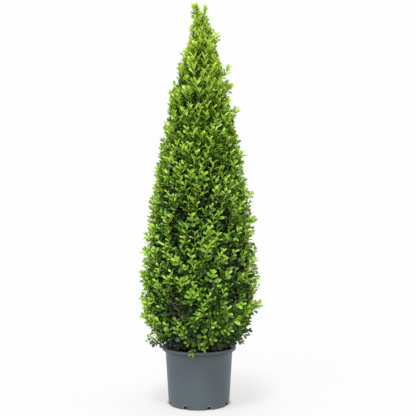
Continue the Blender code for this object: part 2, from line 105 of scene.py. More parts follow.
def limited(value: float, low: float = 0.0, high: float = 1.0) -> float:
    """The value, kept between low and high."""
    return min(max(value, low), high)


def outward(angle: float) -> Vector:
    """The level direction away from the axis at this angle round the plant."""
    return Vector((math.sin(angle), -math.cos(angle), 0.0))


def spot_at(angle: float, radius: float, height: float) -> Vector:
    """The place at this angle round the plant, this far from its axis and this high."""
    return outward(angle) * radius + Vector((0, 0, height))


def pointing(turn: float, rise: float) -> Vector:
    """The direction that points outwards at this angle round the plant and rises by that one."""
    return spot_at(turn, math.cos(rise), math.sin(rise))


def along_curve(points: tuple, value: float) -> float:
    """Smooth curve through (place, size) points, flat beyond its ends.

    Args:
        points: Pairs of place and size, by rising place.
        value: The place to read.

    Returns:
        The size there.
    """
    if value <= points[0][0]:
        return points[0][1]
    if value >= points[-1][0]:
        return points[-1][1]
    at = next(i for i in range(len(points) - 1) if value <= points[i + 1][0])
    (x0, y0), (x1, y1) = points[at], points[at + 1]

    def slope(i: int) -> float:
        """Slope of the curve at point i, from its neighbours."""
        low, high = points[max(i - 1, 0)], points[min(i + 1, len(points) - 1)]
        return (high[1] - low[1]) / (high[0] - low[0])

    span = x1 - x0
    t = (value - x0) / span
    start = (1 + 2 * t) * (1 - t) ** 2 * y0 + t * (1 - t) ** 2 * span * slope(at)
    return start + t * t * (3 - 2 * t) * y1 + t * t * (t - 1) * span * slope(at + 1)


def crown_radius(height: float) -> float:
    """Radius of the clipped outline at this height."""
    return along_curve(CROWN_OUTLINE, height)


def bezier(foot: Vector, bend: Vector, tip: Vector, t: float) -> Vector:
    """The point at share t of a curve from foot to tip that leans towards bend."""
    return foot * (1 - t) ** 2 + bend * (2 * t * (1 - t)) + tip * t * t


def tapered(foot: Vector, bend: Vector, tip: Vector, radii: tuple, steps: int) -> list[tuple[Vector, float]]:
    """A bent limb that gets thinner, or thicker, along its length.

    Args:
        foot: Where it starts.
        bend: What it leans towards.
        tip: Where it ends.
        radii: Its radius at the foot and at the tip.
        steps: How many straight steps it is made in.

    Returns:
        Its points, each with the radius there.
    """
    shares = [k / steps for k in range(steps + 1)]
    return [(bezier(foot, bend, tip, t), radii[0] + (radii[1] - radii[0]) * t) for t in shares]


def nearest(places: list[Vector]) -> KDTree:
    """Makes a finder of the nearest of some places.

    Args:
        places: The places.

    Returns:
        The finder, which numbers them in their order.
    """
    index = KDTree(len(places))
    for i, place in enumerate(places):
        index.insert(place, i)
    index.balance()
    return index


def shown(name: str, mesh: bpy.types.Mesh) -> bpy.types.Object:
    """Puts a mesh in the scene.

    Args:
        name: Name of the object.
        mesh: Its mesh.

    Returns:
        The object, at the origin.
    """
    made = bpy.data.objects.new(name, mesh)
    bpy.context.scene.collection.objects.link(made)
    return made


def plain_mesh(piece: bpy.types.Object) -> bpy.types.Mesh:
    """Carries out the modifiers of a piece.

    Args:
        piece: The piece, which stays as it is.

    Returns:
        The outcome, as a new mesh.
    """
    graph = bpy.context.evaluated_depsgraph_get()
    graph.update()
    return bpy.data.meshes.new_from_object(piece.evaluated_get(graph))


def mesh_from(name: str, built: bmesh.types.BMesh) -> bpy.types.Mesh:
    """Turns a built shape into a mesh.

    Args:
        name: Name of the mesh.
        built: The shape, which is freed.

    Returns:
        The mesh.
    """
    mesh = bpy.data.meshes.new(name)
    built.to_mesh(mesh)
    built.free()
    return mesh


def solid_from(name: str, built: bmesh.types.BMesh) -> bpy.types.Mesh:
    """Turns a built solid into a mesh with its faces outwards, and frees it."""
    bmesh.ops.recalc_face_normals(built, faces=built.faces)
    return mesh_from(name, built)


def add_ring(built: bmesh.types.BMesh, radius: float, height: float, steps: int) -> list[bmesh.types.BMVert]:
    """Adds a level ring of corners round the axis.

    Args:
        built: The shape that it goes into.
        radius: Radius of the ring, or 0 for a pole.
        height: Its height.
        steps: How many corners it has.

    Returns:
        The corners, which at a pole are one corner over and over.
    """
    if radius == 0.0:
        return [built.verts.new((0, 0, height))] * steps
    return [built.verts.new(spot_at(math.tau * k / steps, radius, height)) for k in range(steps)]


def join_rings(built: bmesh.types.BMesh, rings: list[list[bmesh.types.BMVert]]) -> None:
    """Skins a row of rings with faces, three-cornered ones at a pole.

    Args:
        built: The shape that they go into.
        rings: The rings, with the same number of corners.
    """
    for low, high in zip(rings, rings[1:]):
        for k in range(len(low)):
            n = (k + 1) % len(low)
            built.faces.new(list(dict.fromkeys((low[k], low[n], high[n], high[k]))))


def point_mesh(name: str, places: list[Vector], **sizes: list) -> bpy.types.Mesh:
    """A mesh of loose points that carries attributes.

    Args:
        name: Name of the mesh.
        places: Where the points are.
        **sizes: One list per attribute, of numbers or of vectors, one for each point.

    Returns:
        The mesh.
    """
    mesh = bpy.data.meshes.new(name)
    mesh.vertices.add(len(places))
    mesh.vertices.foreach_set("co", [number for place in places for number in place])
    for key, values in sizes.items():
        if isinstance(values[0], float):
            mesh.attributes.new(key, "FLOAT", "POINT").data.foreach_set("value", values)
        else:
            flat = [number for value in values for number in value]
            mesh.attributes.new(key, "FLOAT_VECTOR", "POINT").data.foreach_set("vector", flat)
    return mesh


def feed(tree: bpy.types.NodeTree, socket: bpy.types.NodeSocket, value: object) -> None:
    """Gives an input of a node what it reads.

    Args:
        tree: The tree that holds the node.
        socket: The input.
        value: An output to link, or a plain value.
    """
    if isinstance(value, bpy.types.NodeSocket):
        tree.links.new(value, socket)
    else:
        socket.default_value = value


def add_node(tree: bpy.types.NodeTree, kind: str, feeds: dict, **settings: object) -> bpy.types.Node:
    """Adds a node to a tree.

    Args:
        tree: The tree.
        kind: The node's type name.
        feeds: What its inputs read, by their name or number: outputs to link or plain values.
        **settings: Values for the node's own properties.

    Returns:
        The new node.
    """
    node = tree.nodes.new(kind)
    for key, value in settings.items():
        setattr(node, key, value)
    for key, value in feeds.items():
        feed(tree, node.inputs[key], value)
    return node


class NodeTree:
    """A tree of geometry nodes with named inputs, built in code and applied to meshes."""

    def __init__(self, name: str, inputs: dict[str, str]) -> None:
        """Starts a tree that takes a geometry, a finish and what else it needs.

        Args:
            name: Name of the node group.
            inputs: The other inputs, each with the kind of its socket.
        """
        self.tree = bpy.data.node_groups.new(name, "GeometryNodeTree")
        for key, kind in {"Geometry": "Geometry", **inputs, "Finish": "Material"}.items():
            self.tree.interface.new_socket(key, in_out="INPUT", socket_type=f"NodeSocket{kind}")
        self.tree.interface.new_socket("Geometry", in_out="OUTPUT", socket_type="NodeSocketGeometry")
        self.start = self.tree.nodes.new("NodeGroupInput")

    def given(self, name: str) -> bpy.types.NodeSocket:
        """The output that hands on a named input of the tree."""
        return self.start.outputs[name]

    def named(self, name: str, kind: str) -> bpy.types.NodeSocket:
        """Output of a node that reads a named attribute of this data type."""
        node = add_node(self.tree, "GeometryNodeInputNamedAttribute", {"Name": name}, data_type=kind)
        return next(socket for socket in node.outputs if socket.enabled)

    def close(self, kind: str, feeds: dict, made: str) -> None:
        """Ends the tree: instances made real, shaded smooth and given the Finish input's material.

        Args:
            kind: Type name of the node that makes the geometry.
            feeds: What that node's inputs read.
            made: Name of its output.
        """
        geometry = add_node(self.tree, kind, feeds).outputs[made]
        for step in ("GeometryNodeRealizeInstances", "GeometryNodeSetShadeSmooth"):
            geometry = add_node(self.tree, step, {"Geometry": geometry}).outputs["Geometry"]
        feeds = {"Geometry": geometry, "Material": self.given("Finish")}
        finish = add_node(self.tree, "GeometryNodeSetMaterial", feeds)
        add_node(self.tree, "NodeGroupOutput", {"Geometry": finish.outputs["Geometry"]})

    def apply(self, name: str, mesh: bpy.types.Mesh, values: dict[str, object]) -> bpy.types.Object:
        """Runs the tree on a mesh and keeps the result as a plain mesh.

        Args:
            name: Name of the new piece.
            mesh: What the tree starts from.
            values: A value for each named input.

        Returns:
            The piece, an object at the origin with no modifier.
        """
        holder = shown(f"{name}_seed", mesh)
        modifier = holder.modifiers.new("grow", "NODES")
        modifier.node_group = self.tree
        for item in self.tree.interface.items_tree:
            if item.in_out == "INPUT" and item.name in values:
                modifier[item.identifier] = values[item.name]
        grown = plain_mesh(holder)
        holder.modifiers.remove(modifier)
        bpy.data.objects.remove(holder)
        bpy.data.meshes.remove(mesh)
        grown.name = name
        return shown(name, grown)


class LeafScatter(NodeTree):
    """Puts a leaf on every point, turned and sized by the points' attributes."""

    def __init__(self) -> None:
        """Builds the tree."""
        super().__init__("leaves_on_points", {"Leaf": "Object"})
        leaf = add_node(self.tree, "GeometryNodeObjectInfo", {"Object": self.given("Leaf")})
        euler = {"Euler": self.named("turn", "FLOAT_VECTOR")}
        turn = add_node(self.tree, "FunctionNodeEulerToRotation", euler)
        feeds = {
            "Points": self.given("Geometry"),
            "Instance": leaf.outputs["Geometry"],
            "Rotation": turn.outputs["Rotation"],
            "Scale": self.named("size", "FLOAT_VECTOR"),
        }
        self.close("GeometryNodeInstanceOnPoints", feeds, "Instances")


class LimbTubes(NodeTree):
    """Makes a tapering tube along every run of edges, as thick as the points' attribute says."""

    def __init__(self) -> None:
        """Builds the tree."""
        super().__init__("tubes_on_edges", {"Sides": "Int"})
        runs = add_node(self.tree, "GeometryNodeMeshToCurve", {"Mesh": self.given("Geometry")})
        circle = {"Resolution": self.given("Sides"), "Radius": 1.0}
        ring = add_node(self.tree, "GeometryNodeCurvePrimitiveCircle", circle)
        feeds = {
            "Curve": runs.outputs["Curve"],
            "Profile Curve": ring.outputs["Curve"],
            "Scale": self.named("thickness", "FLOAT"),
            "Fill Caps": True,
        }
        self.close("GeometryNodeCurveToMesh", feeds, "Mesh")


class CrumbScatter(NodeTree):
    """Strews a small solid over a surface, each turned and sized at random by a fixed seed."""

    def __init__(self) -> None:
        """Builds the tree."""
        inputs = {"Crumb": "Object", "Density": "Float", "Least": "Float", "Most": "Float", "Seed": "Int"}
        super().__init__("crumbs_on_surface", inputs)
        seed = self.given("Seed")
        surface = {"Mesh": self.given("Geometry"), "Density": self.given("Density"), "Seed": seed}
        spots = add_node(self.tree, "GeometryNodeDistributePointsOnFaces", surface)
        crumb = add_node(self.tree, "GeometryNodeObjectInfo", {"Object": self.given("Crumb")})
        any_turn = {"Max": (math.tau, math.tau, math.tau), "Seed": seed}
        turn = add_node(self.tree, "FunctionNodeRandomValue", any_turn, data_type="FLOAT_VECTOR")
        any_size = {2: self.given("Least"), 3: self.given("Most")}
        size = add_node(self.tree, "FunctionNodeRandomValue", any_size, data_type="FLOAT")
        angle = add_node(self.tree, "FunctionNodeEulerToRotation", {"Euler": turn.outputs[0]})
        feeds = {
            "Points": spots.outputs["Points"],
            "Instance": crumb.outputs["Geometry"],
            "Rotation": angle.outputs["Rotation"],
            "Scale": size.outputs[1],
        }
        self.close("GeometryNodeInstanceOnPoints", feeds, "Instances")


class ShaderGroup(Enum):
    """Effects that more than one finish uses."""

    MOTTLE = "mottle"
    GRIT = "grit"
    # Bands of dust, also used for painted shade near the pot's lip
    SETTLED_DUST = "settled_dust"


class Effects:
    """The shader node groups behind ShaderGroup, each built once and placed with its own values."""

    made: dict[ShaderGroup, bpy.types.NodeTree] = {}

    @classmethod
    def tree(cls, which: ShaderGroup) -> bpy.types.NodeTree:
        """The node group for an effect, built the first time it is asked for.

        Args:
            which: The effect.

        Returns:
            Its node group.
        """
        if which not in cls.made:
            builders = {
                ShaderGroup.MOTTLE: cls.build_mottle,
                ShaderGroup.GRIT: cls.build_grit,
                ShaderGroup.SETTLED_DUST: cls.build_dust_or_shade_mask,
            }
            cls.made[which] = builders[which]()
        return cls.made[which]

    @staticmethod
    def start(which: ShaderGroup, inputs: dict[str, float], outputs: tuple[str, ...]) -> tuple:
        """Starts a shader group whose sockets all carry numbers.

        Args:
            which: The effect, which names the group.
            inputs: Its inputs and their usual values.
            outputs: Its outputs.

        Returns:
            The tree, what its inputs hand on, and the output that gives the place on the object.
        """
        tree = bpy.data.node_groups.new(which.value, "ShaderNodeTree")
        for key, value in inputs.items():
            socket = tree.interface.new_socket(key, in_out="INPUT", socket_type="NodeSocketFloat")
            socket.default_value = value
        for key in outputs:
            tree.interface.new_socket(key, in_out="OUTPUT", socket_type="NodeSocketFloat")
        place = add_node(tree, "ShaderNodeTexCoord", {})
        return tree, add_node(tree, "NodeGroupInput", {}).outputs, place.outputs["Object"]

    @staticmethod
    def reckon(
        tree: bpy.types.NodeTree, step: str, *terms: object, clamp: bool = False
    ) -> bpy.types.NodeSocket:
        """Adds a step of arithmetic.

        Args:
            tree: The tree that it goes into.
            step: The operation.
            *terms: What it works on: outputs or numbers.
            clamp: Whether the outcome is kept between 0 and 1.

        Returns:
            The outcome's output.
        """
        feeds = dict(enumerate(terms))
        return add_node(tree, "ShaderNodeMath", feeds, operation=step, use_clamp=clamp).outputs[0]

    @classmethod
    def build_mottle(cls) -> bpy.types.NodeTree:
        """Soft cloudy patches from 0 to 1, in several sizes laid over each other.

        Returns:
            The node group.
        """
        tree, given, place = cls.start(ShaderGroup.MOTTLE, {"Scale": 20.0, "Contrast": 2.0}, ("Mask",))
        look = {"Vector": place, "Scale": given["Scale"], "Detail": 5.0, "Roughness": 0.62}
        cloud = add_node(tree, "ShaderNodeTexNoise", look)
        centred = cls.reckon(tree, "SUBTRACT", cloud.outputs["Fac"], 0.5)
        mask = cls.reckon(tree, "MULTIPLY_ADD", centred, given["Contrast"], 0.5, clamp=True)
        add_node(tree, "NodeGroupOutput", {"Mask": mask})
        return tree

    @classmethod
    def build_grit(cls) -> bpy.types.NodeTree:
        """Fine raised specks: a height for a bump, and a mask of the highest of them.

        Returns:
            The node group.
        """
        tree, given, place = cls.start(ShaderGroup.GRIT, {"Scale": 400.0, "Cut": 0.62}, ("Height", "Specks"))
        look = {"Vector": place, "Scale": given["Scale"], "Detail": 3.0}
        fine = add_node(tree, "ShaderNodeTexNoise", look).outputs["Fac"]
        specks = cls.reckon(tree, "GREATER_THAN", fine, given["Cut"])
        add_node(tree, "NodeGroupOutput", {"Height": fine, "Specks": specks})
        return tree

    @classmethod
    def build_dust_or_shade_mask(cls) -> bpy.types.NodeTree:
        """Dust or painted shade that is thickest at one height and fades over a reach, broken up by noise.

        Returns:
            The node group.
        """
        inputs = {"Level": 0.0, "Reach": 0.05, "Breakup": 60.0}
        tree, given, place = cls.start(ShaderGroup.SETTLED_DUST, inputs, ("Mask",))
        height = add_node(tree, "ShaderNodeSeparateXYZ", {0: place}).outputs["Z"]
        gap = cls.reckon(tree, "ABSOLUTE", cls.reckon(tree, "SUBTRACT", height, given["Level"]))
        share = cls.reckon(tree, "DIVIDE", gap, given["Reach"])
        fade = cls.reckon(tree, "SUBTRACT", 1.0, share, clamp=True)
        look = {"Vector": place, "Scale": given["Breakup"], "Detail": 6.0, "Roughness": 0.7}
        cloud = add_node(tree, "ShaderNodeTexNoise", look)
        broken = cls.reckon(tree, "MULTIPLY", fade, cloud.outputs["Fac"])
        gain, cut = 3.2, -0.9
        mask = cls.reckon(tree, "MULTIPLY_ADD", broken, gain, cut, clamp=True)
        add_node(tree, "NodeGroupOutput", {"Mask": mask})
        return tree


class Shader:
    """A new Principled material with short ways to add nodes."""

    def __init__(self, name: str, roughness: float) -> None:
        """Makes the material.

        Args:
            name: Name of the material.
            roughness: Its roughness where nothing varies it.
        """
        self.material = bpy.data.materials.new(name)
        self.material.use_nodes = True
        self.tree = self.material.node_tree
        self.surface = self.tree.nodes["Principled BSDF"]
        self.give("Roughness", roughness)

    def give(self, name: str, value: object) -> None:
        """Gives a named input of the surface an output or a plain value."""
        feed(self.tree, self.surface.inputs[name], value)

    def effect(self, which: ShaderGroup, **values: float) -> bpy.types.bpy_prop_collection:
        """Places a shared effect with values for its named inputs, and gives back its outputs."""
        return add_node(self.tree, "ShaderNodeGroup", values, node_tree=Effects.tree(which)).outputs

    def mixed(self, share: bpy.types.NodeSocket, low: object, high: object) -> bpy.types.NodeSocket:
        """Blends two colours.

        Args:
            share: Output that says how much of the second colour shows.
            low: Display values of the first colour, or an output that gives it.
            high: The same for the second.

        Returns:
            The blended colour's output.
        """
        low, high = (end if isinstance(end, bpy.types.NodeSocket) else linear(end) for end in (low, high))
        node = add_node(self.tree, "ShaderNodeMix", {"Factor": share}, data_type="RGBA")
        feed(self.tree, node.inputs[6], low)
        feed(self.tree, node.inputs[7], high)
        return node.outputs[2]

    def ranged(self, share: bpy.types.NodeSocket, low: float, high: float) -> bpy.types.NodeSocket:
        """Maps 0 to 1 onto low to high."""
        feeds = {"Value": share, "To Min": low, "To Max": high}
        return add_node(self.tree, "ShaderNodeMapRange", feeds).outputs["Result"]

    def bump(self, height: bpy.types.NodeSocket, strength: float, distance: float) -> None:
        """Feeds the normal with a bump.

        Args:
            height: Output that gives the height.
            strength: How strongly the bump acts, 0 to 1.
            distance: Height of a step from 0 to 1, in metres.
        """
        feeds = {"Height": height, "Strength": strength, "Distance": distance}
        self.give("Normal", add_node(self.tree, "ShaderNodeBump", feeds).outputs["Normal"])


@dataclass(frozen=True)
class DustOrShadeBand:
    """A band of dust or painted shade round the pot: where it is thickest and how far it fades and breaks up.
    """

    level: float
    reach: float
    breakup: float
    share: float
    colour: tuple


@dataclass(frozen=True)
class PlasticFinish:
    """Matte grey nursery plastic, cloudy, with painted shade on and under the lip and a few pale specks."""

    name: str = "grey_pot_plastic"
    base: tuple = (58, 69, 75)
    cloud: tuple = (64, 75, 80)
    dust: tuple = (128, 130, 126)
    # Painted shade on the lip's face and the upper wall, and the near-black painted shadow line under the lip
    grime: tuple = (34, 38, 40)
    undercut_shadow: tuple = (12, 13, 13)
    roughness: float = 0.42
    shine: float = 0.62
    speck_share: float = 0.5

    def dust_and_shade_bands(self) -> tuple[DustOrShadeBand, ...]:
        """The bands of dust and painted shade, from the lowest layer to the highest.

        Returns:
            Dust at the foot, two bands of painted shade near the lip and a painted shadow line under the lip.
        """
        return (
            DustOrShadeBand(0.0, 0.050, 70.0, 0.14, self.dust),
            # Painted shade: the upper wall darker towards the lip
            DustOrShadeBand(0.196, 0.060, 3.0, 0.34, self.grime),
            # Painted shade on the lip's face
            DustOrShadeBand(0.2065, 0.014, 4.0, 0.46, self.grime),
            # Painted shadow: a dark line under the lip's overhang
            DustOrShadeBand(0.200, 0.015, 5.0, 1.0, self.undercut_shadow),
        )

    def build(self) -> bpy.types.Material:
        """Makes the material.

        Returns:
            The material.
        """
        shader = Shader(self.name, self.roughness)
        shader.give("Specular IOR Level", self.shine)
        cloud = shader.effect(ShaderGroup.MOTTLE, Scale=14.0, Contrast=2.4)["Mask"]
        grit = shader.effect(ShaderGroup.GRIT, Scale=900.0, Cut=0.70)["Height"]
        specks = shader.effect(ShaderGroup.GRIT, Scale=230.0, Cut=0.73)["Specks"]
        look = shader.mixed(cloud, self.base, self.cloud)
        # Dust at the foot, then the painted shade and painted shadow near the lip
        for dust_or_shade in self.dust_and_shade_bands():
            values = {"Level": dust_or_shade.level, "Reach": dust_or_shade.reach, "Breakup": dust_or_shade.breakup}
            mask = shader.effect(ShaderGroup.SETTLED_DUST, **values)["Mask"]
            look = shader.mixed(shader.ranged(mask, 0.0, dust_or_shade.share), look, dust_or_shade.colour)
        look = shader.mixed(shader.ranged(specks, 0.0, self.speck_share), look, self.dust)
        shader.give("Base Color", look)
        shader.give("Roughness", shader.ranged(cloud, self.roughness - 0.05, self.roughness + 0.08))
        shader.bump(grit, strength=0.35, distance=0.0002)
        return shader.material


@dataclass(frozen=True)
class WornEdgeHighlightFinish:
    """The pale cut edge of the same plastic, at the drain notches: wear and a painted highlight."""

    name: str = "worn_pot_edge"
    base: tuple = (164, 163, 152)
    scuff: tuple = (188, 184, 168)
    roughness: float = 0.6

    def build(self) -> bpy.types.Material:
        """Makes the material.

        Returns:
            The material.
        """
        shader = Shader(self.name, self.roughness)
        cloud = shader.effect(ShaderGroup.MOTTLE, Scale=180.0, Contrast=3.0)["Mask"]
        shader.give("Base Color", shader.mixed(cloud, self.base, self.scuff))
        return shader.material


@dataclass(frozen=True)
class SoilFinish:
    """Dark, moist potting soil with paler crumbs."""

    name: str
    dark: tuple
    pale: tuple
    scale: float = 160.0
    roughness: float = 0.92

    def build(self) -> bpy.types.Material:
        """Makes the material.

        Returns:
            The material.
        """
        shader = Shader(self.name, self.roughness)
        cloud = shader.effect(ShaderGroup.MOTTLE, Scale=self.scale, Contrast=2.8)["Mask"]
        grit = shader.effect(ShaderGroup.GRIT, Scale=700.0, Cut=0.64)["Height"]
        shader.give("Base Color", shader.mixed(cloud, self.dark, self.pale))
        shader.give("Roughness", shader.ranged(cloud, self.roughness - 0.14, self.roughness))
        shader.bump(grit, strength=0.8, distance=0.0012)
        return shader.material


@dataclass(frozen=True)
class BarkFinish:
    """Pale, finely furrowed bark with greenish film in patches."""

    name: str
    ridge: tuple
    furrow: tuple
    film: tuple
    film_share: float = 0.45
    contrast: tuple = (-0.6, 1.6)
    stretch: float = 0.12
    roughness: float = 0.85

    def build(self) -> bpy.types.Material:
        """Makes the material.

        Returns:
            The material.
        """
        shader = Shader(self.name, self.roughness)
        place = add_node(shader.tree, "ShaderNodeTexCoord", {}).outputs["Object"]
        drawn_out = {"Vector": place, "Scale": (1.0, 1.0, self.stretch)}
        mapping = add_node(shader.tree, "ShaderNodeMapping", drawn_out)
        look = {"Vector": mapping.outputs["Vector"], "Scale": 420.0, "Detail": 4.0}
        fissures = add_node(shader.tree, "ShaderNodeTexNoise", look).outputs["Fac"]
        patches = shader.effect(ShaderGroup.MOTTLE, Scale=38.0, Contrast=3.0)["Mask"]
        rough = shader.mixed(shader.ranged(fissures, *self.contrast), self.furrow, self.ridge)
        film = shader.ranged(patches, 0.0, self.film_share)
        shader.give("Base Color", shader.mixed(film, rough, self.film))
        shader.bump(fissures, strength=0.9, distance=0.0012)
        return shader.material


class LeafShape(Enum):
    """The shapes of leaf: width and hollow as shares of length, and how far the tip bends back."""

    YOUNG = (0.50, 0.12, 0.14)
    GROWN = (0.62, 0.14, 0.20)
    INNER = (0.62, 0.06, 0.10)


@dataclass(frozen=True)
class LeafFinish:
    """One plain leaf colour, dealt out by spray, with some light let through the blade."""

    name: str
    colour: tuple
    through: tuple
    thinness: float
    roughness: float
    shape: LeafShape
    shine: float = 0.30

    def build(self) -> bpy.types.Material:
        """Makes the material, one colour with a soft waxy shine, lit through from behind.

        Returns:
            The material.
        """
        shader = Shader(f"box_leaf_{self.name}", self.roughness)
        shader.give("Base Color", linear(self.colour))
        shader.give("Specular IOR Level", self.shine)
        blade = add_node(shader.tree, "ShaderNodeBsdfTranslucent", {"Color": linear(self.through)})
        layers = {"Fac": self.thinness, 1: shader.surface.outputs["BSDF"], 2: blade.outputs["BSDF"]}
        both = add_node(shader.tree, "ShaderNodeMixShader", layers)
        end = shader.tree.nodes["Material Output"]
        feed(shader.tree, end.inputs["Surface"], both.outputs["Shader"])
        return shader.material


@dataclass(frozen=True)
class StemFinish:
    """One plain colour for thin stems."""

    name: str
    colour: tuple
    roughness: float

    def build(self) -> bpy.types.Material:
        """Makes the material.

        Returns:
            The material.
        """
        shader = Shader(self.name, self.roughness)
        shader.give("Base Color", linear(self.colour))
        return shader.material


# Leaf colours from the newest growth to the oldest
LEAF_FINISHES = (
    LeafFinish("pale", (148, 180, 68), (166, 188, 56), 0.28, 0.50, LeafShape.YOUNG),
    LeafFinish("lime", (130, 168, 50), (147, 178, 40), 0.28, 0.48, LeafShape.YOUNG),
    LeafFinish("fresh", (112, 154, 40), (128, 164, 31), 0.27, 0.46, LeafShape.YOUNG),
    LeafFinish("bright", (92, 133, 35), (107, 142, 26), 0.26, 0.46, LeafShape.YOUNG),
    LeafFinish("mid", (71, 106, 36), (85, 118, 26), 0.26, 0.42, LeafShape.GROWN),
    LeafFinish("mature", (55, 79, 45), (68, 90, 38), 0.20, 0.44, LeafShape.GROWN),
    LeafFinish("deep", (44, 59, 41), (50, 62, 34), 0.16, 0.44, LeafShape.GROWN),
    LeafFinish("inner", (39, 45, 38), (40, 44, 30), 0.14, 0.55, LeafShape.INNER, 0.15),
)

# The same for the crown's upper part, which is yellower
SUNLIT_FINISHES = (
    LeafFinish("sunlit_pale", (163, 188, 78), (180, 194, 66), 0.28, 0.50, LeafShape.YOUNG),
    LeafFinish("sunlit_lime", (147, 178, 60), (163, 186, 50), 0.28, 0.48, LeafShape.YOUNG),
    LeafFinish("sunlit_fresh", (130, 165, 49), (147, 173, 40), 0.27, 0.46, LeafShape.YOUNG),
    LeafFinish("sunlit_bright", (110, 147, 42), (126, 155, 32), 0.26, 0.46, LeafShape.YOUNG),
    LeafFinish("sunlit_mid", (84, 121, 37), (100, 131, 28), 0.28, 0.42, LeafShape.GROWN),
    LeafFinish("sunlit_mature", (63, 86, 43), (77, 98, 34), 0.24, 0.40, LeafShape.GROWN),
    *LEAF_FINISHES[-2:],
)

# The same for the lowest leaves, whose older ones are duller and bluer
LOW_FINISHES = (
    *LEAF_FINISHES[:4],
    LeafFinish("low_mid", (74, 100, 56), (84, 106, 40), 0.22, 0.44, LeafShape.GROWN),
    LeafFinish("low_mature", (62, 84, 54), (70, 88, 44), 0.18, 0.44, LeafShape.GROWN),
    LeafFinish("low_deep", (48, 64, 44), (52, 62, 36), 0.16, 0.46, LeafShape.GROWN),
    LEAF_FINISHES[-1],
)


@dataclass(frozen=True)
class Cone:
    """The border between two tiers of the crown, which rises outwards."""

    middle: float
    slope: float
    turn: float = 0.0

    def height(self, place: Vector) -> float:
        """The border's height over or under this place."""
        wave = BORDER_WAVE * math.sin(BORDER_WAVES * math.atan2(place.y, place.x) + self.turn)
        return self.middle + (self.slope + wave) * math.hypot(place.x, place.y)


@dataclass(frozen=True)
class Tier:
    """One mass of the crown: its solid's name, its upper border and its material slot."""

    name: str
    top: Cone
    slot: str

    @property
    def node(self) -> str:
        """Name of the solid that this tier's pieces stand for."""
        return f"crown_{self.name}"


TIERS = (
    Tier("skirt", Cone(0.350, 0.20, 0.4), "foliage_dark"),
    Tier("belly", Cone(0.545, 0.45, 1.9), "foliage"),
    Tier("waist", Cone(0.760, 0.75, 3.1), "foliage"),
    Tier("shoulder", Cone(1.030, 1.15, 4.7), "foliage"),
    Tier("spire", Cone(3.0, 0.0), "foliage_light"),
)


def tier_at(place: Vector) -> Tier:
    """The tier that holds this place."""
    return next(tier for tier in TIERS if place.z < tier.top.height(place))


class PotFace(Enum):
    """Which of the pot's finishes a face takes, by its number."""

    WALL = 0
    CUT = 1
    # Painted shade: the dark soil colour on the cut faces inside the notches
    DARK = 2


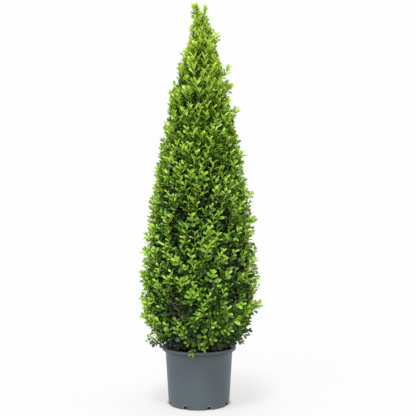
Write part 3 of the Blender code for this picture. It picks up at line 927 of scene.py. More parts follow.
@dataclass
class Pot:
    """The nursery pot: a turned shell with a rolled lip, a faint band and drain notches."""

    wall: float = 0.0026
    shoulder_radius: float = 0.1266
    foot_radius: float = 0.1146
    foot_edge: float = 0.003
    floor_top: float = 0.0065
    steps: int = 144
    sharp_from: float = math.radians(32)
    # The lip: its depth, its rounding, how much narrower that is inside, its steps, and the
    # undercut from the rim, in and up
    lip_height: float = 0.0125
    lip_edge: float = 0.0032
    lip_inner: float = 0.6
    lip_roll: int = 5
    lip_undercut: tuple = ((0.0, 0.0022), (0.0006, 0.0008), (0.0022, 0.0))
    # The faint band under it, from its hollow against the lip, out and up, to the wall below
    band_height: float = 0.011
    band_step: float = 0.0008
    band_hollow: tuple = ((0.0016, 0.0004), (0.0, -0.0016))
    band_fade: float = 1.6
    side_rings: int = 6
    # The foot: its rounding, in and up, and the ring-shaped recess: inner and outer radius, depth
    foot_round: tuple = ((0.0006, 0.0009), (0.0018, 0.0))
    recess: tuple = (0.034, 0.090, 0.0035)
    # The drain notches, and the blocks that cut them: a narrow part and a part that flares outside
    drain_count: int = 8
    drain_turn: float = math.radians(19.7)
    drain_width: float = 0.0168
    drain_height: float = 0.0124
    drain_round: float = 0.0022
    drain_foot: float = -0.01
    drain_rows: tuple = ((-0.0060, 0.0), (-0.0010, 0.0), (0.0030, 0.0035))

    def lip(self) -> list[tuple[float, float]]:
        """Section of the rolled lip, over its rounded top and down to its undercut.

        Returns:
            Pairs of radius and height.
        """
        points = []
        inner = RIM_RADIUS - 2 * self.wall + self.lip_edge * self.lip_inner
        level = POT_HEIGHT - self.lip_edge
        for middle, start, share in ((inner, 180, self.lip_inner), (RIM_RADIUS - self.lip_edge, 90, 1.0)):
            wide = self.lip_edge * share
            for k in range(self.lip_roll + 1):
                turn = math.radians(start - 90 * k / self.lip_roll)
                points.append((middle + wide * math.cos(turn), level + self.lip_edge * math.sin(turn)))
        under = POT_HEIGHT - self.lip_height
        return points + [(RIM_RADIUS - inset, under + rise) for inset, rise in self.lip_undercut]

    def section(self) -> list[tuple[float, float]]:
        """The whole section: up the inside, over the lip, down the outside and under the foot.

        Returns:
            Pairs of radius and height.
        """
        inner_foot = self.foot_radius - self.wall
        under = POT_HEIGHT - self.lip_height
        band_foot = under - self.band_height
        band = self.foot_radius + (self.shoulder_radius - self.foot_radius) / under * band_foot
        band_top = self.shoulder_radius + self.band_step
        recess_inner, recess_outer, depth = self.recess
        side = []
        for k in range(self.side_rings):
            radius = band + (self.foot_radius - band) * k / self.side_rings
            drop = (self.foot_edge - band_foot) * k / self.side_rings
            side.append((radius, band_foot - self.band_step * self.band_fade + drop))
        return [
            (0.0, self.floor_top),
            (inner_foot - self.foot_edge, self.floor_top),
            (inner_foot, self.floor_top + self.foot_edge),
            (self.shoulder_radius - self.wall, under),
            *self.lip(),
            *((band_top + out, under + rise) for out, rise in self.band_hollow),
            (band + self.band_step, band_foot),
            *side,
            (self.foot_radius, self.foot_edge),
            *((self.foot_radius - inset, height) for inset, height in self.foot_round),
            (recess_outer, 0.0),
            (recess_outer - depth, depth),
            (recess_inner + depth, depth),
            (recess_inner, 0.0),
            (0.0, 0.0),
        ]

    def turned(self) -> bpy.types.Mesh:
        """The shell as a solid of revolution, faces outwards.

        Returns:
            The mesh.
        """
        built = bmesh.new()
        join_rings(built, [add_ring(built, radius, height, self.steps) for radius, height in self.section()])
        return solid_from("pot_shell", built)

    def notches(self) -> bpy.types.Mesh:
        """Cutters for the drain notches: blocks with rounded tops, pale at the wall with wear and a painted
        highlight, and painted dark shade behind it.

        Returns:
            The mesh.
        """
        built = bmesh.new()
        for k in range(self.drain_count):
            angle = self.drain_turn + math.tau * k / self.drain_count
            side = Vector((math.cos(angle), math.sin(angle), 0.0))
            rows = []
            for reach, flare in self.drain_rows:
                half, top = self.drain_width / 2 + flare, self.drain_height + flare
                bevel = self.drain_round + flare / 2
                outline = [(-half, self.drain_foot), (-half, top - bevel), (-half + bevel, top)]
                outline += [(-x, z) for x, z in outline[::-1]]
                middle = outward(angle) * (self.foot_radius + reach)
                rows.append([built.verts.new(middle + side * x + Vector((0, 0, z))) for x, z in outline])
            # The inner end and the inner sides of each cutter take painted shade, and the outer sides take
            # the pale edge with its painted highlight
            for face in (built.faces.new(rows[0]), built.faces.new(rows[-1][::-1])):
                face.material_index = PotFace.DARK.value
            for finish, near, far in ((PotFace.DARK, *rows[:2]), (PotFace.CUT, *rows[1:])):
                for i in range(len(near)):
                    j = (i + 1) % len(near)
                    built.faces.new((near[j], near[i], far[i], far[j])).material_index = finish.value
        return solid_from("pot_notches", built)

    def build(self) -> bpy.types.Object:
        """Makes the pot and dresses it.

        Returns:
            The pot's piece.
        """
        finishes = {
            PotFace.WALL: PlasticFinish(),
            # Pale cut edges: wear and a painted highlight
            PotFace.CUT: WornEdgeHighlightFinish(),
            # Dark soil colour on the plastic inside the notches: painted shade
            PotFace.DARK: SoilFinish("soil_in_notches", (18, 15, 12), (44, 36, 28)),
        }
        materials = [finishes[face].build() for face in PotFace]
        pot = shown("pot_shell", self.turned())
        cutter = shown("pot_notches", self.notches())
        for piece in (pot, cutter):
            for material in materials:
                piece.data.materials.append(material)
        cut = pot.modifiers.new("notches", "BOOLEAN")
        cut.object = cutter
        cut.solver = "EXACT"
        mesh = plain_mesh(pot)
        for piece in (pot, cutter):
            bpy.data.objects.remove(piece)
        mesh.shade_smooth()
        mesh.set_sharp_from_angle(angle=self.sharp_from)
        shell = shown("pot_shell", mesh)
        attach(shell, BODY)
        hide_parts("pot")
        return shell


@dataclass(frozen=True)
class Crumb:
    """What lies on the soil: its shape, how many to a square metre, least and most size, and finish."""

    name: str
    stretch: tuple[float, float, float]
    density: float
    least: float
    most: float
    seed: int
    finish: SoilFinish


@dataclass
class Soil:
    """The potting soil: an uneven surface down to the pot's floor, with crumbs and bark chips on it."""

    edge_radius: float = 0.1232
    foot_radius: float = 0.1115
    floor: float = 0.0072
    top_reach: float = 0.020
    rings: int = 22
    steps: int = 96
    # How far the top falls to the wall, and its lumps: height, least share and sizes
    fall: float = 0.004
    rise: float = 0.0035
    middle_share: float = 0.35
    lumps: tuple = ((42.0, 0.6), (110.0, 0.4))
    # The pebble that stands for a crumb, and the crumbs
    pebble_scale: float = 3.1
    pebble_rough: float = 0.35
    finish: SoilFinish = SoilFinish("moist_soil", (26, 20, 15), (58, 45, 33))
    crumbs: tuple[Crumb, ...] = (
        Crumb(
            "soil_crumbs", (1.0, 0.8, 0.6), 16000.0, 0.0015, 0.0050, 11,
            SoilFinish("soil_crumb", (34, 26, 19), (80, 62, 46)),
        ),
        Crumb(
            "soil_chips", (1.6, 0.7, 0.22), 2600.0, 0.0045, 0.0110, 10,
            SoilFinish("bark_chip", (62, 44, 30), (128, 98, 70), 90.0),
        ),
    )

    def height(self, place: Vector) -> float:
        """Height of the soil: level round the trunk, falling to the wall, and lumpy.

        Args:
            place: The place, at height 0.

        Returns:
            The height there.
        """
        radius = math.hypot(place.x, place.y) / self.edge_radius
        lumps = sum(noise.noise(place * scale) * share for scale, share in self.lumps)
        unevenness = self.middle_share + (1.0 - self.middle_share) * radius
        return SOIL_LEVEL - self.fall * radius**2 + self.rise * lumps * unevenness

    def surface(self) -> bpy.types.Mesh:
        """The plug of soil as one closed mesh.

        Returns:
            The mesh.
        """
        built = bmesh.new()
        radii = [self.edge_radius * r / self.rings for r in range(self.rings + 1)]
        rings = [add_ring(built, radius, 0.0, self.steps) for radius in radii]
        for corner in built.verts:
            corner.co.z = self.height(corner.co)
        rings += [add_ring(built, radius, self.floor, self.steps) for radius in (self.foot_radius, 0.0)]
        join_rings(built, rings)
        mesh = solid_from("soil_surface", built)
        mesh.shade_smooth()
        return mesh

    def top(self) -> bpy.types.Mesh:
        """The upper side alone, for crumbs to lie on.

        Returns:
            The mesh.
        """
        mesh = self.surface()
        built = bmesh.new()
        built.from_mesh(mesh)
        lowest = SOIL_LEVEL - self.top_reach
        under = [face for face in built.faces if face.calc_center_median().z < lowest]
        bmesh.ops.delete(built, geom=under, context="FACES")
        built.to_mesh(mesh)
        built.free()
        return mesh

    def pebble(self, stretch: tuple[float, float, float]) -> bpy.types.Object:
        """A rough pebble of about unit size.

        Args:
            stretch: How far it is drawn out along each axis.

        Returns:
            The pebble, to be removed after use.
        """
        built = bmesh.new()
        bmesh.ops.create_icosphere(built, subdivisions=1, radius=0.5)
        for corner in built.verts:
            corner.co *= 1.0 + self.pebble_rough * noise.noise(corner.co * self.pebble_scale)
            corner.co = Vector((a * b for a, b in zip(corner.co, stretch)))
        return shown("pebble", mesh_from("pebble", built))

    def build(self, scatter: CrumbScatter) -> list[bpy.types.Object]:
        """Makes the soil and what lies on it.

        Args:
            scatter: The tree that strews the crumbs.

        Returns:
            The pieces.
        """
        soil = shown("soil_surface", self.surface())
        soil.data.materials.append(self.finish.build())
        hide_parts("soil")
        pieces = [soil]
        for crumb in self.crumbs:
            pebble = self.pebble(crumb.stretch)
            values = {
                "Crumb": pebble,
                "Density": crumb.density,
                "Least": crumb.least,
                "Most": crumb.most,
                "Seed": crumb.seed,
                "Finish": crumb.finish.build(),
            }
            pieces.append(scatter.apply(crumb.name, self.top(), values))
            bpy.data.objects.remove(pebble)
        for piece in pieces:
            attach(piece, BODY)
        return pieces


@dataclass
class Limbs:
    """The trunk and the low boughs, each a tapering tube with bark relief."""

    trunk_radius: float = 0.0125
    trunk_tip_radius: float = 0.0032
    trunk_taper: float = 0.8
    trunk_sink: float = 0.006
    trunk_rings: int = 220
    trunk_sides: int = 18
    flare: float = 0.0065
    flare_height: float = 0.030
    lean: float = 0.006
    sway: float = 0.0035
    sway_turns: float = 1.6
    # The low boughs. The bend is a share of the reach and of the rise
    bough_count: int = 6
    bough_foot: float = 0.216
    bough_step: float = 0.007
    bough_turn: float = 0.5
    bough_reach: float = 0.108
    bough_tip: float = 0.278
    bough_bend: tuple = (0.62, 0.22)
    bough_radii: tuple = (0.0062, 0.0030)
    bough_rings: int = 30
    bough_sides: int = 10
    # The bark: height of its relief, the most of it as a share of the radius, ridges and knots
    relief: float = 0.0011
    relief_share: float = 0.16
    ridges: tuple = (260, 260, 34)
    knots: float = 55
    knot_share: float = 0.8

    def trunk_spot(self, height: float) -> Vector:
        """The trunk's middle.

        Args:
            height: A height on the trunk.

        Returns:
            The middle there, with the trunk's lean and sway.
        """
        rise = max(height - SOIL_LEVEL - self.flare_height, 0.0)
        share = rise / (TRUNK_TIP - SOIL_LEVEL - self.flare_height)
        sway = self.sway * math.sin(math.tau * self.sway_turns * share)
        return Vector((self.lean * share + sway * (1 - share), sway * share, height))

    def trunk_size(self, height: float) -> float:
        """The trunk's radius.

        Args:
            height: A height on the trunk.

        Returns:
            The radius there, with the root flare at the trunk's foot.
        """
        share = limited((height - SOIL_LEVEL) / (TRUNK_TIP - SOIL_LEVEL))
        flare = self.flare * math.exp(-(height - SOIL_LEVEL) / self.flare_height)
        taper = (self.trunk_tip_radius - self.trunk_radius) * share**self.trunk_taper
        return self.trunk_radius + taper + flare

    def bough_curve(self, k: int) -> tuple[Vector, Vector, Vector]:
        """The course of a low bough.

        Args:
            k: Its number, from 0.

        Returns:
            Its foot, bend and tip.
        """
        foot = self.trunk_spot(self.bough_foot + self.bough_step * k)
        angle = GOLDEN_ANGLE * k + self.bough_turn
        tip = spot_at(angle, self.bough_reach, self.bough_tip)
        out, up = self.bough_bend
        return foot, foot + spot_at(angle, self.bough_reach * out, (tip.z - foot.z) * up), tip

    def tube(self, name: str, line: list[tuple[Vector, float]], sides: int) -> bpy.types.Object:
        """Makes a tube with ridged bark.

        Args:
            name: Name of the piece.
            line: Middle and radius of each ring.
            sides: Corners in a ring.

        Returns:
            The piece, closed and with its faces outwards.
        """
        built = bmesh.new()
        rings = []
        for i, (place, radius) in enumerate(line):
            before, after = line[max(i - 1, 0)][0], line[min(i + 1, len(line) - 1)][0]
            facing = (after - before).normalized().to_track_quat("Z", "X").to_matrix()
            relief = min(self.relief, radius * self.relief_share)
            ring = []
            for k in range(sides):
                turn = math.tau * k / sides
                out = facing @ Vector((math.cos(turn), math.sin(turn), 0))
                spot = place + out * radius
                ridge = noise.noise(spot * Vector(self.ridges))
                knot = noise.noise(spot * self.knots)
                ring.append(built.verts.new(spot + out * (relief * (ridge + self.knot_share * knot))))
            rings.append(ring)
        join_rings(built, rings)
        built.faces.new(rings[0][::-1])
        built.faces.new(rings[-1])
        mesh = solid_from(name, built)
        mesh.shade_smooth()
        return shown(name, mesh)

    def build(self, bark: BarkFinish) -> list[bpy.types.Object]:
        """Makes the trunk and the boughs.

        Args:
            bark: Their finish.

        Returns:
            The pieces.
        """
        foot, steps = SOIL_LEVEL - self.trunk_sink, self.trunk_rings
        heights = [foot + (TRUNK_TIP - foot) * (k / steps) for k in range(steps + 1)]
        line = [(self.trunk_spot(height), self.trunk_size(height)) for height in heights]
        trunk = self.tube("trunk_bark", line, self.trunk_sides)
        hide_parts("trunk")
        pieces = [trunk]
        for b in range(self.bough_count):
            line = tapered(*self.bough_curve(b), self.bough_radii, self.bough_rings)
            bough = self.tube(f"bough_bark_{b + 1}", line, self.bough_sides)
            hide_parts(f"bough_{b + 1}")
            pieces.append(bough)
        material = bark.build()
        for piece in pieces:
            piece.data.materials.append(material)
            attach(piece, BODY)
        return pieces


class Wood(Enum):
    """Kinds of wood inside the crown: sides of the tubes that make it, and its finish."""

    BOUGH = (5, StemFinish("inner_wood", (92, 74, 52), 0.85))
    TWIG = (3, StemFinish("twig_bark", (104, 88, 62), 0.8))
    STEM = (3, StemFinish("green_stem", (128, 140, 62), 0.55))


class Growth(Enum):
    """Kinds of shoot: age of the leaves at the tip, and how much each pair below adds."""

    BARE = (1.0, 0.0)
    FRESH = (0.13, 0.100)
    SETTLED = (0.38, 0.085)
    SHADED = (0.66, 0.060)
    HIDDEN = (0.97, 0.02)


# How far the tips of the shoots stand out from the outline, least and most
SET_OUT = {
    Growth.FRESH: (-0.011, 0.004),
    Growth.SETTLED: (-0.030, -0.014),
    Growth.SHADED: (-0.046, -0.026),
}


@dataclass
class Shoot:
    """One leafy shoot: a bent stem, its growth, its leaves' size, gap and, if not outwards, facing."""

    foot: Vector
    bend: Vector
    tip: Vector
    growth: Growth
    leaf: float
    gap: float = 1.0
    face: Vector | None = None

    def spot(self, t: float) -> Vector:
        """The stem's middle at share t of its length."""
        return bezier(self.foot, self.bend, self.tip, t)

    def heading(self, t: float) -> Vector:
        """The stem's direction at share t."""
        return ((self.bend - self.foot) * (1 - t) + (self.tip - self.bend) * t).normalized()

    @property
    def length(self) -> float:
        """Length of the stem, near enough."""
        sides = (self.bend - self.foot, self.tip - self.bend, self.tip - self.foot)
        return sum(side.length for side in sides) / 2


@dataclass(frozen=True)
class Sprig:
    """A shoot that stands out in its own place: its tip, the degrees it turns and rises, and its look."""

    tip: tuple[float, float, float]
    turn: float
    rise: float
    length: float = 0.050
    growth: Growth = Growth.FRESH
    leaf: float = 1.1
    gap: float = 0.75


@dataclass(frozen=True)
class Patch:
    """A place on the crown's front that grows thinner, below 0, or fuller, above 0, than around it."""

    x: float
    z: float
    vigour: float
    reach: float = 0.048

    def strength(self, place: Vector) -> float:
        """How strongly the patch acts.

        Args:
            place: A place on the crown's side.

        Returns:
            Its effect there, which fades to 0 over the patch's reach.
        """
        depth = math.sqrt(max(crown_radius(self.z) ** 2 - self.x**2, 0.0))
        away = (place - Vector((self.x, -depth, self.z))).length
        return self.vigour * max(1.0 - (away / self.reach) ** 2, 0.0)


PATCHES = (
    # Thin, dark places
    Patch(-0.07, 0.37, -1.2, 0.065),
    Patch(0.11, 0.66, -1.2, 0.060),
    Patch(-0.08, 0.69, -1.1),
    Patch(0.07, 1.09, -0.8),
    Patch(-0.01, 1.03, -0.5),
    Patch(0.06, 0.37, -1.0),
    Patch(0.17, 0.44, -1.1),
    Patch(0.13, 0.43, -0.9),
    Patch(0.16, 0.29, -0.9, 0.055),
    Patch(0.12, 0.57, -0.5),
    Patch(0.03, 0.72, -0.9),
    Patch(0.01, 0.34, -0.9),
    Patch(0.04, 0.88, -0.4),
    Patch(-0.10, 0.59, -0.8),
    Patch(-0.09, 0.51, -0.8),
    Patch(0.01, 0.68, -0.5),
    Patch(-0.01, 0.60, -0.5),
    Patch(-0.09, 0.77, -0.5),
    Patch(0.06, 0.31, -0.5),
    Patch(-0.04, 0.73, -0.8),
    Patch(-0.17, 0.50, -0.8),
    Patch(0.00, 0.46, -0.7),
    Patch(-0.09, 1.02, -1.1),
    Patch(0.04, 0.54, -0.9),
    Patch(-0.15, 0.66, -1.0),
    Patch(-0.13, 0.41, -0.6),
    Patch(-0.08, 0.41, -1.3),
    # Tufts of new growth
    Patch(0.03, 1.05, 0.4),
    Patch(0.05, 0.60, 0.9),
    Patch(-0.05, 0.49, 0.6),
    Patch(0.10, 0.37, 0.6),
    Patch(0.04, 0.49, 0.3),
    Patch(0.01, 0.84, 0.7),
    Patch(0.10, 0.75, 0.5),
    Patch(-0.17, 0.33, 0.7),
    Patch(-0.17, 0.44, 0.9),
    Patch(0.13, 0.80, 0.6),
    Patch(0.07, 1.26, 0.9),
    Patch(0.09, 1.19, 0.6),
    Patch(0.19, 0.36, 0.8),
    Patch(0.13, 1.00, 0.6),
    Patch(0.04, 1.36, 0.6),
    Patch(-0.04, 0.99, 0.5),
    Patch(0.07, 0.93, 0.5),
    Patch(-0.08, 0.81, 0.5),
    Patch(-0.04, 0.78, 0.4),
    Patch(0.00, 0.40, 0.4),
)


SPRIGS = (
    # The leader's tip, with gaps of sky between its shoots
    Sprig((-0.018, -0.003, 1.496), -92, 66, 0.062, Growth.FRESH, 1.25, 0.55),
    Sprig((-0.006, 0.004, 1.480), -100, 78, 0.040, Growth.FRESH, 1.1, 0.60),
    Sprig((-0.009, -0.004, 1.490), -50, 80, 0.050, Growth.FRESH, 1.2, 0.60),
    Sprig((0.0235, 0.003, 1.490), 84, 88, 0.054, Growth.FRESH, 1.05, 0.60),
    Sprig((0.006, -0.008, 1.466), -20, 84, 0.044, Growth.FRESH, 1.1, 0.60),
    Sprig((0.014, 0.008, 1.456), 150, 80, 0.044, Growth.FRESH, 1.1, 0.60),
    Sprig((-0.022, 0.002, 1.462), -95, 30, 0.030, Growth.FRESH, 1.0, 0.9),
    Sprig((0.026, -0.004, 1.447), 70, 76, 0.040, Growth.FRESH, 1.15, 0.65),
    Sprig((-0.014, -0.012, 1.440), -60, 76, 0.044, Growth.FRESH, 1.15, 0.65),
    Sprig((0.002, -0.018, 1.424), -10, 78, 0.044, Growth.FRESH, 1.15, 0.65),
    Sprig((0.036, -0.004, 1.416), 80, 72, 0.044, Growth.FRESH, 1.15, 0.65),
    Sprig((-0.028, -0.003, 1.411), -90, 68, 0.044, Growth.FRESH, 1.1, 0.65),
    # Shoots that the shears missed, on the right and then on the left
    Sprig((0.070, 0.000, 1.386), 86, 56, 0.044),
    Sprig((0.051, -0.006, 1.380), 80, 72, 0.044),
    Sprig((0.058, -0.020, 1.324), 74, 60, 0.050),
    Sprig((0.066, -0.012, 1.298), 80, 56, 0.050),
    Sprig((0.108, -0.004, 1.262), 86, 46, 0.056),
    Sprig((0.118, 0.012, 1.196), 95, 36, 0.050),
    Sprig((0.142, -0.008, 1.104), 85, 30, 0.056),
    Sprig((0.162, -0.020, 0.936), 80, 50, 0.056),
    Sprig((0.192, -0.016, 0.780), 85, 32, 0.060),
    Sprig((0.204, -0.020, 0.690), 85, 46, 0.056),
    Sprig((0.221, -0.040, 0.374), 84, 38, 0.064, Growth.FRESH, 1.15),
    Sprig((-0.104, -0.004, 1.166), -88, 40, 0.056),
    Sprig((-0.158, -0.010, 0.864), -86, 34, 0.056),
    Sprig((-0.203, -0.016, 0.572), -86, 34, 0.056),
    Sprig((-0.190, -0.020, 0.625), -84, 40, 0.050),
    Sprig((-0.202, -0.040, 0.332), -84, 24, 0.060),
    # Low growth that hangs out past the pot
    Sprig((-0.187, -0.050, 0.240), -78, 0, 0.060, Growth.FRESH, 0.85, 0.85),
    Sprig((-0.180, -0.060, 0.256), -66, 14, 0.056, Growth.FRESH, 0.8, 0.85),
    Sprig((-0.168, -0.030, 0.228), -88, -16, 0.054, Growth.SETTLED, 1.0),
    Sprig((0.184, -0.040, 0.276), 80, -16, 0.060, Growth.SETTLED, 1.0),
    Sprig((0.170, -0.060, 0.262), 70, -24, 0.056, Growth.SETTLED, 1.0),
    Sprig((0.152, -0.050, 0.240), 76, -26, 0.056, Growth.SETTLED, 1.0),
    Sprig((-0.024, -0.156, 0.217), -10, -34, 0.036, Growth.FRESH, 0.95, 1.1),
    Sprig((-0.038, -0.150, 0.250), -28, -10, 0.036, Growth.FRESH, 0.95, 1.1),
    Sprig((0.020, -0.148, 0.233), 12, -14, 0.036, Growth.FRESH, 0.95, 1.1),
    Sprig((0.140, -0.130, 0.326), 50, 20, 0.050),
    Sprig((0.050, -0.180, 0.322), 16, 16, 0.050),
    Sprig((-0.050, -0.170, 0.286), -18, 10, 0.050),
    # Tufts of new growth on the front
    Sprig((0.046, -0.200, 0.608), 14, 40, 0.050),
    Sprig((0.030, -0.204, 0.592), 6, 46, 0.050),
    Sprig((0.050, -0.212, 0.506), 14, 40, 0.050),
    Sprig((-0.022, -0.196, 0.704), -6, 42, 0.050),
    Sprig((-0.030, -0.166, 0.856), -8, 46, 0.050),
    Sprig((0.018, -0.167, 0.850), 6, 46, 0.050),
    Sprig((-0.146, -0.034, 0.884), -76, 42, 0.050),
    Sprig((0.078, -0.034, 1.258), 64, 60, 0.050),
    Sprig((0.012, -0.030, 1.400), -10, 76, 0.044, Growth.FRESH, 1.15, 0.65),
    Sprig((0.044, -0.022, 1.376), 50, 72, 0.044, Growth.FRESH, 1.15, 0.65),
    Sprig((0.130, -0.034, 0.998), 74, 46, 0.050),
    Sprig((0.120, -0.052, 0.984), 62, 50, 0.050),
    Sprig((0.038, -0.016, 1.394), 60, 74, 0.044, Growth.FRESH, 1.15, 0.65),
    Sprig((0.044, -0.010, 1.374), 74, 70, 0.044, Growth.FRESH, 1.15, 0.65),
    # Bare twigs between the low leaves and along the rim
    Sprig((-0.090, -0.186, 0.395), -62, 38, 0.060, Growth.BARE),
    Sprig((-0.072, -0.190, 0.378), -50, 60, 0.052, Growth.BARE),
    Sprig((-0.110, -0.176, 0.410), -80, 20, 0.050, Growth.BARE),
    Sprig((-0.126, -0.086, 0.227), -70, 14, 0.060, Growth.BARE),
    Sprig((0.112, -0.096, 0.231), 66, 6, 0.066, Growth.BARE),
    Sprig((0.080, -0.112, 0.229), 80, 8, 0.060, Growth.BARE),
)


@dataclass
class Crown:
    """The clipped crown: boughs, twigs and leafy shoots, in five tiers."""

    limbs: Limbs
    seed: int = 15
    # The boughs inside: how far they stay from the outline, where they leave the trunk and how they bend
    bough_count: int = 101
    bough_top: float = 1.40
    bough_inset: float = 0.036
    bough_least: float = 0.42
    bough_share: float = 0.62
    bough_drop: float = 0.02
    bough_climb: float = 1.1
    bough_bend: tuple = (0.65, 0.25)
    bough_girth: float = 0.5
    bough_slim: tuple = (0.5, 4)
    bough_tip_radius: float = 0.0020
    bough_steps: int = 6
    # The forks that the boughs carry
    fork_count: int = 640
    fork_foot: float = 0.245
    fork_top: float = 1.475
    fork_turn: float = 2.0
    fork_inset: float = 0.062
    fork_least: float = 0.30
    fork_drop: float = 0.050
    fork_bow: float = 0.015
    fork_radii: tuple = (0.0026, 0.0018)
    fork_steps: int = 3
    # Old leaves round the forks: how many, their length, the stalk that gives their age, how far
    # from the fork they start and how they turn
    fill_count: int = 11
    fill_length: float = 0.032
    fill_stalk: float = 0.02
    fill_least: float = 0.25
    fill_top: float = 1.36
    fill_reach: tuple = (0.004, 0.020)
    fill_heading: float = 0.6
    fill_spread: tuple = (0.2, 1.2)
    # The leader: places and radii
    leader: tuple = (
        (0.006, 0.000, 1.380, 0.0034),
        (0.009, 0.000, 1.412, 0.0028),
        (0.007, 0.002, 1.438, 0.0023),
        (0.000, 0.000, 1.462, 0.0016),
    )
    # Twigs from the forks to the shoots, and the shoots' stems
    twig_bow: float = 0.008
    twig_radii: tuple = (0.0019, 0.0013)
    twig_steps: int = 2
    stem_radii: tuple = (0.0013, 0.0007)
    stem_steps: int = 4
    # The shoots on the side: how many, from where to where, and how they rise and swerve
    shoot_count: int = 2700
    shoot_turn: float = 0.3
    foot: float = 0.226
    top: float = 1.440
    height_play: float = 0.008
    rise_low: float = math.radians(-8)
    rise_high: float = math.radians(80)
    rise_bend: float = 0.42
    rise_least: float = -0.45
    rise_most: float = 1.45
    lift: float = 0.30
    outer_share: float = 0.55
    swerve: float = 0.38
    swerve_loss: float = 0.6
    loft_foot: float = 0.80
    loft_reach: float = 0.50
    shoot_length: tuple = (0.044, 0.070)
    shoot_least: float = 0.62
    # Where the crown is slimmer than these radii, depths, lumps and lengths shrink with it
    full_depth: float = 0.10
    full_lumps: float = 0.08
    full_length: float = 0.11
    # The lumps of the outline, and the chance for new growth with its clusters and patches
    lump: float = 0.010
    lump_size: float = 0.055
    proud: float = 0.017
    least_reach: float = 0.004
    vigour: float = 0.25
    vigour_size: float = 0.056
    vigour_flatness: float = 0.6
    vigour_fresh: float = 2.2
    tuft_fresh: float = 0.36
    thin_depth: float = 0.010
    settled_share: float = 0.28
    # The shoots on the underside
    under_count: int = 130
    under_inner: float = 0.045
    under_width: float = 0.088
    under_level: float = 0.238
    under_play: tuple = (-0.006, 0.014)
    under_rise: tuple = (-0.55, 0.05)
    under_length: float = 0.05
    under_turn: float = 1.1
    under_settled: int = 9
    # The leaves on a shoot. At the tip they are smaller, closer and steeper, by pair
    leaf_length: float = 0.0230
    leaf_play: float = 0.15
    leaf_tip: tuple = (0.84, 0.08)
    size_play: float = 0.14
    joint: float = 0.0155
    joint_tip: tuple = (0.62, 0.2)
    joint_loss: float = 0.15
    joint_play: float = 0.15
    leafy_share: float = 0.92
    spread_tip: float = math.radians(28)
    spread_pairs: int = 3
    spread_play: float = 0.20
    first_roll: float = 0.6
    pair_roll: float = 0.25
    # How a leaf turns to the light, outwards and upwards, and how much its width and roll differ
    light_out: float = 0.8
    light_up: float = 0.7
    light_pull: float = 0.62
    face_pull: float = 1.1
    leaf_roll: float = 0.28
    width_play: float = 0.1
    width_loss: float = 0.08
    # Where no leaf may be: by the pot's wall, from this radius on, close over it and over the soil,
    # and past the crown's top
    pot_inside: float = 0.116
    pot_gap: float = 0.003
    soil_gap: float = 0.004
    top_gap: float = 0.001
    # Where leaves look older and younger, by height, and by how much
    old_top: float = 0.34
    old_reach: float = 0.08
    old_age: float = 0.10
    young_foot: float = 1.00
    young_reach: float = 0.40
    young_age: float = 0.14
    young_step: float = 0.45
    age_play: float = 0.09
    oldest: float = 0.999
    # Where the sunlit row of finishes sets in, and the low one
    sunlit_foot: float = 1.00
    sunlit_rise: float = 0.38
    low_top: float = 0.38
    low_reach: float = 0.12
    stems: dict = field(default_factory=lambda: defaultdict(list))
    leaves: dict = field(default_factory=lambda: defaultdict(list))

    def __post_init__(self) -> None:
        """Starts the crown's own run of chances."""
        self.chance = random.Random(self.seed)

    def near_one(self, play: float) -> float:
        """A factor by chance, at most this far from 1."""
        return self.chance.uniform(1.0 - play, 1.0 + play)

    def shoot_rise(self, height: float) -> float:
        """How steeply the shoots rise at this height."""
        share = max(height - CROWN_FOOT, 0.0) / (CROWN_TOP - CROWN_FOOT)
        return self.rise_low + (self.rise_high - self.rise_low) * share**self.rise_bend

    def loft(self, height: float) -> float:
        """How far up the crown this height is, 0 below its middle and 1 near its top."""
        return limited((height - self.loft_foot) / self.loft_reach)

    @staticmethod
    def spread(count: int, foot: float, top: float, turn: float) -> list[tuple[float, float]]:
        """Even spots on the crown's side.

        Args:
            count: How many.
            foot: Lowest height.
            top: Highest height.
            turn: Angle of the first.

        Returns:
            A height and an angle for each, set by the golden angle and the area of the side.
        """
        slices, margin = 400, 0.004
        heights = [foot + (top - foot) * (k + 0.5) / slices for k in range(slices)]
        shares = [(crown_radius(z) + margin) * along_curve(SHOOT_DENSITY, z) for z in heights]
        total, i, passed = sum(shares), 0, 0.0
        spots = []
        for k in range(count):
            target = total * (k + 0.5) / count
            while passed + shares[i] < target:
                passed += shares[i]
                i += 1
            spots.append((heights[i], (GOLDEN_ANGLE * k + turn) % math.tau))
        return spots

    def new_shoot(
        self, tip: Vector, turn: float, rise: float, length: float, growth: Growth, leaf: float
    ) -> Shoot:
        """Makes a shoot that starts flatter inside the crown and ends steeper.

        Args:
            tip: Where it ends.
            turn: The angle round the plant that it points to.
            rise: How steeply it rises.
            length: Its length.
            growth: Its kind.
            leaf: The size of its leaves, as a share of the usual one.

        Returns:
            The shoot.
        """
        end = pointing(turn, min(rise + self.lift, self.rise_most))
        start = pointing(turn, max(rise - self.lift, self.rise_least))
        bend = tip - end * (length * self.outer_share)
        return Shoot(bend - start * (length * (1.0 - self.outer_share)), bend, tip, growth, leaf)

    def deal(self, fresh: float) -> Growth:
        """Deals out a kind of growth by chance.

        Args:
            fresh: The share of new growth here.

        Returns:
            The growth.
        """
        draw = self.chance.random()
        if draw < fresh:
            return Growth.FRESH
        return Growth.SETTLED if draw < fresh + self.settled_share else Growth.SHADED

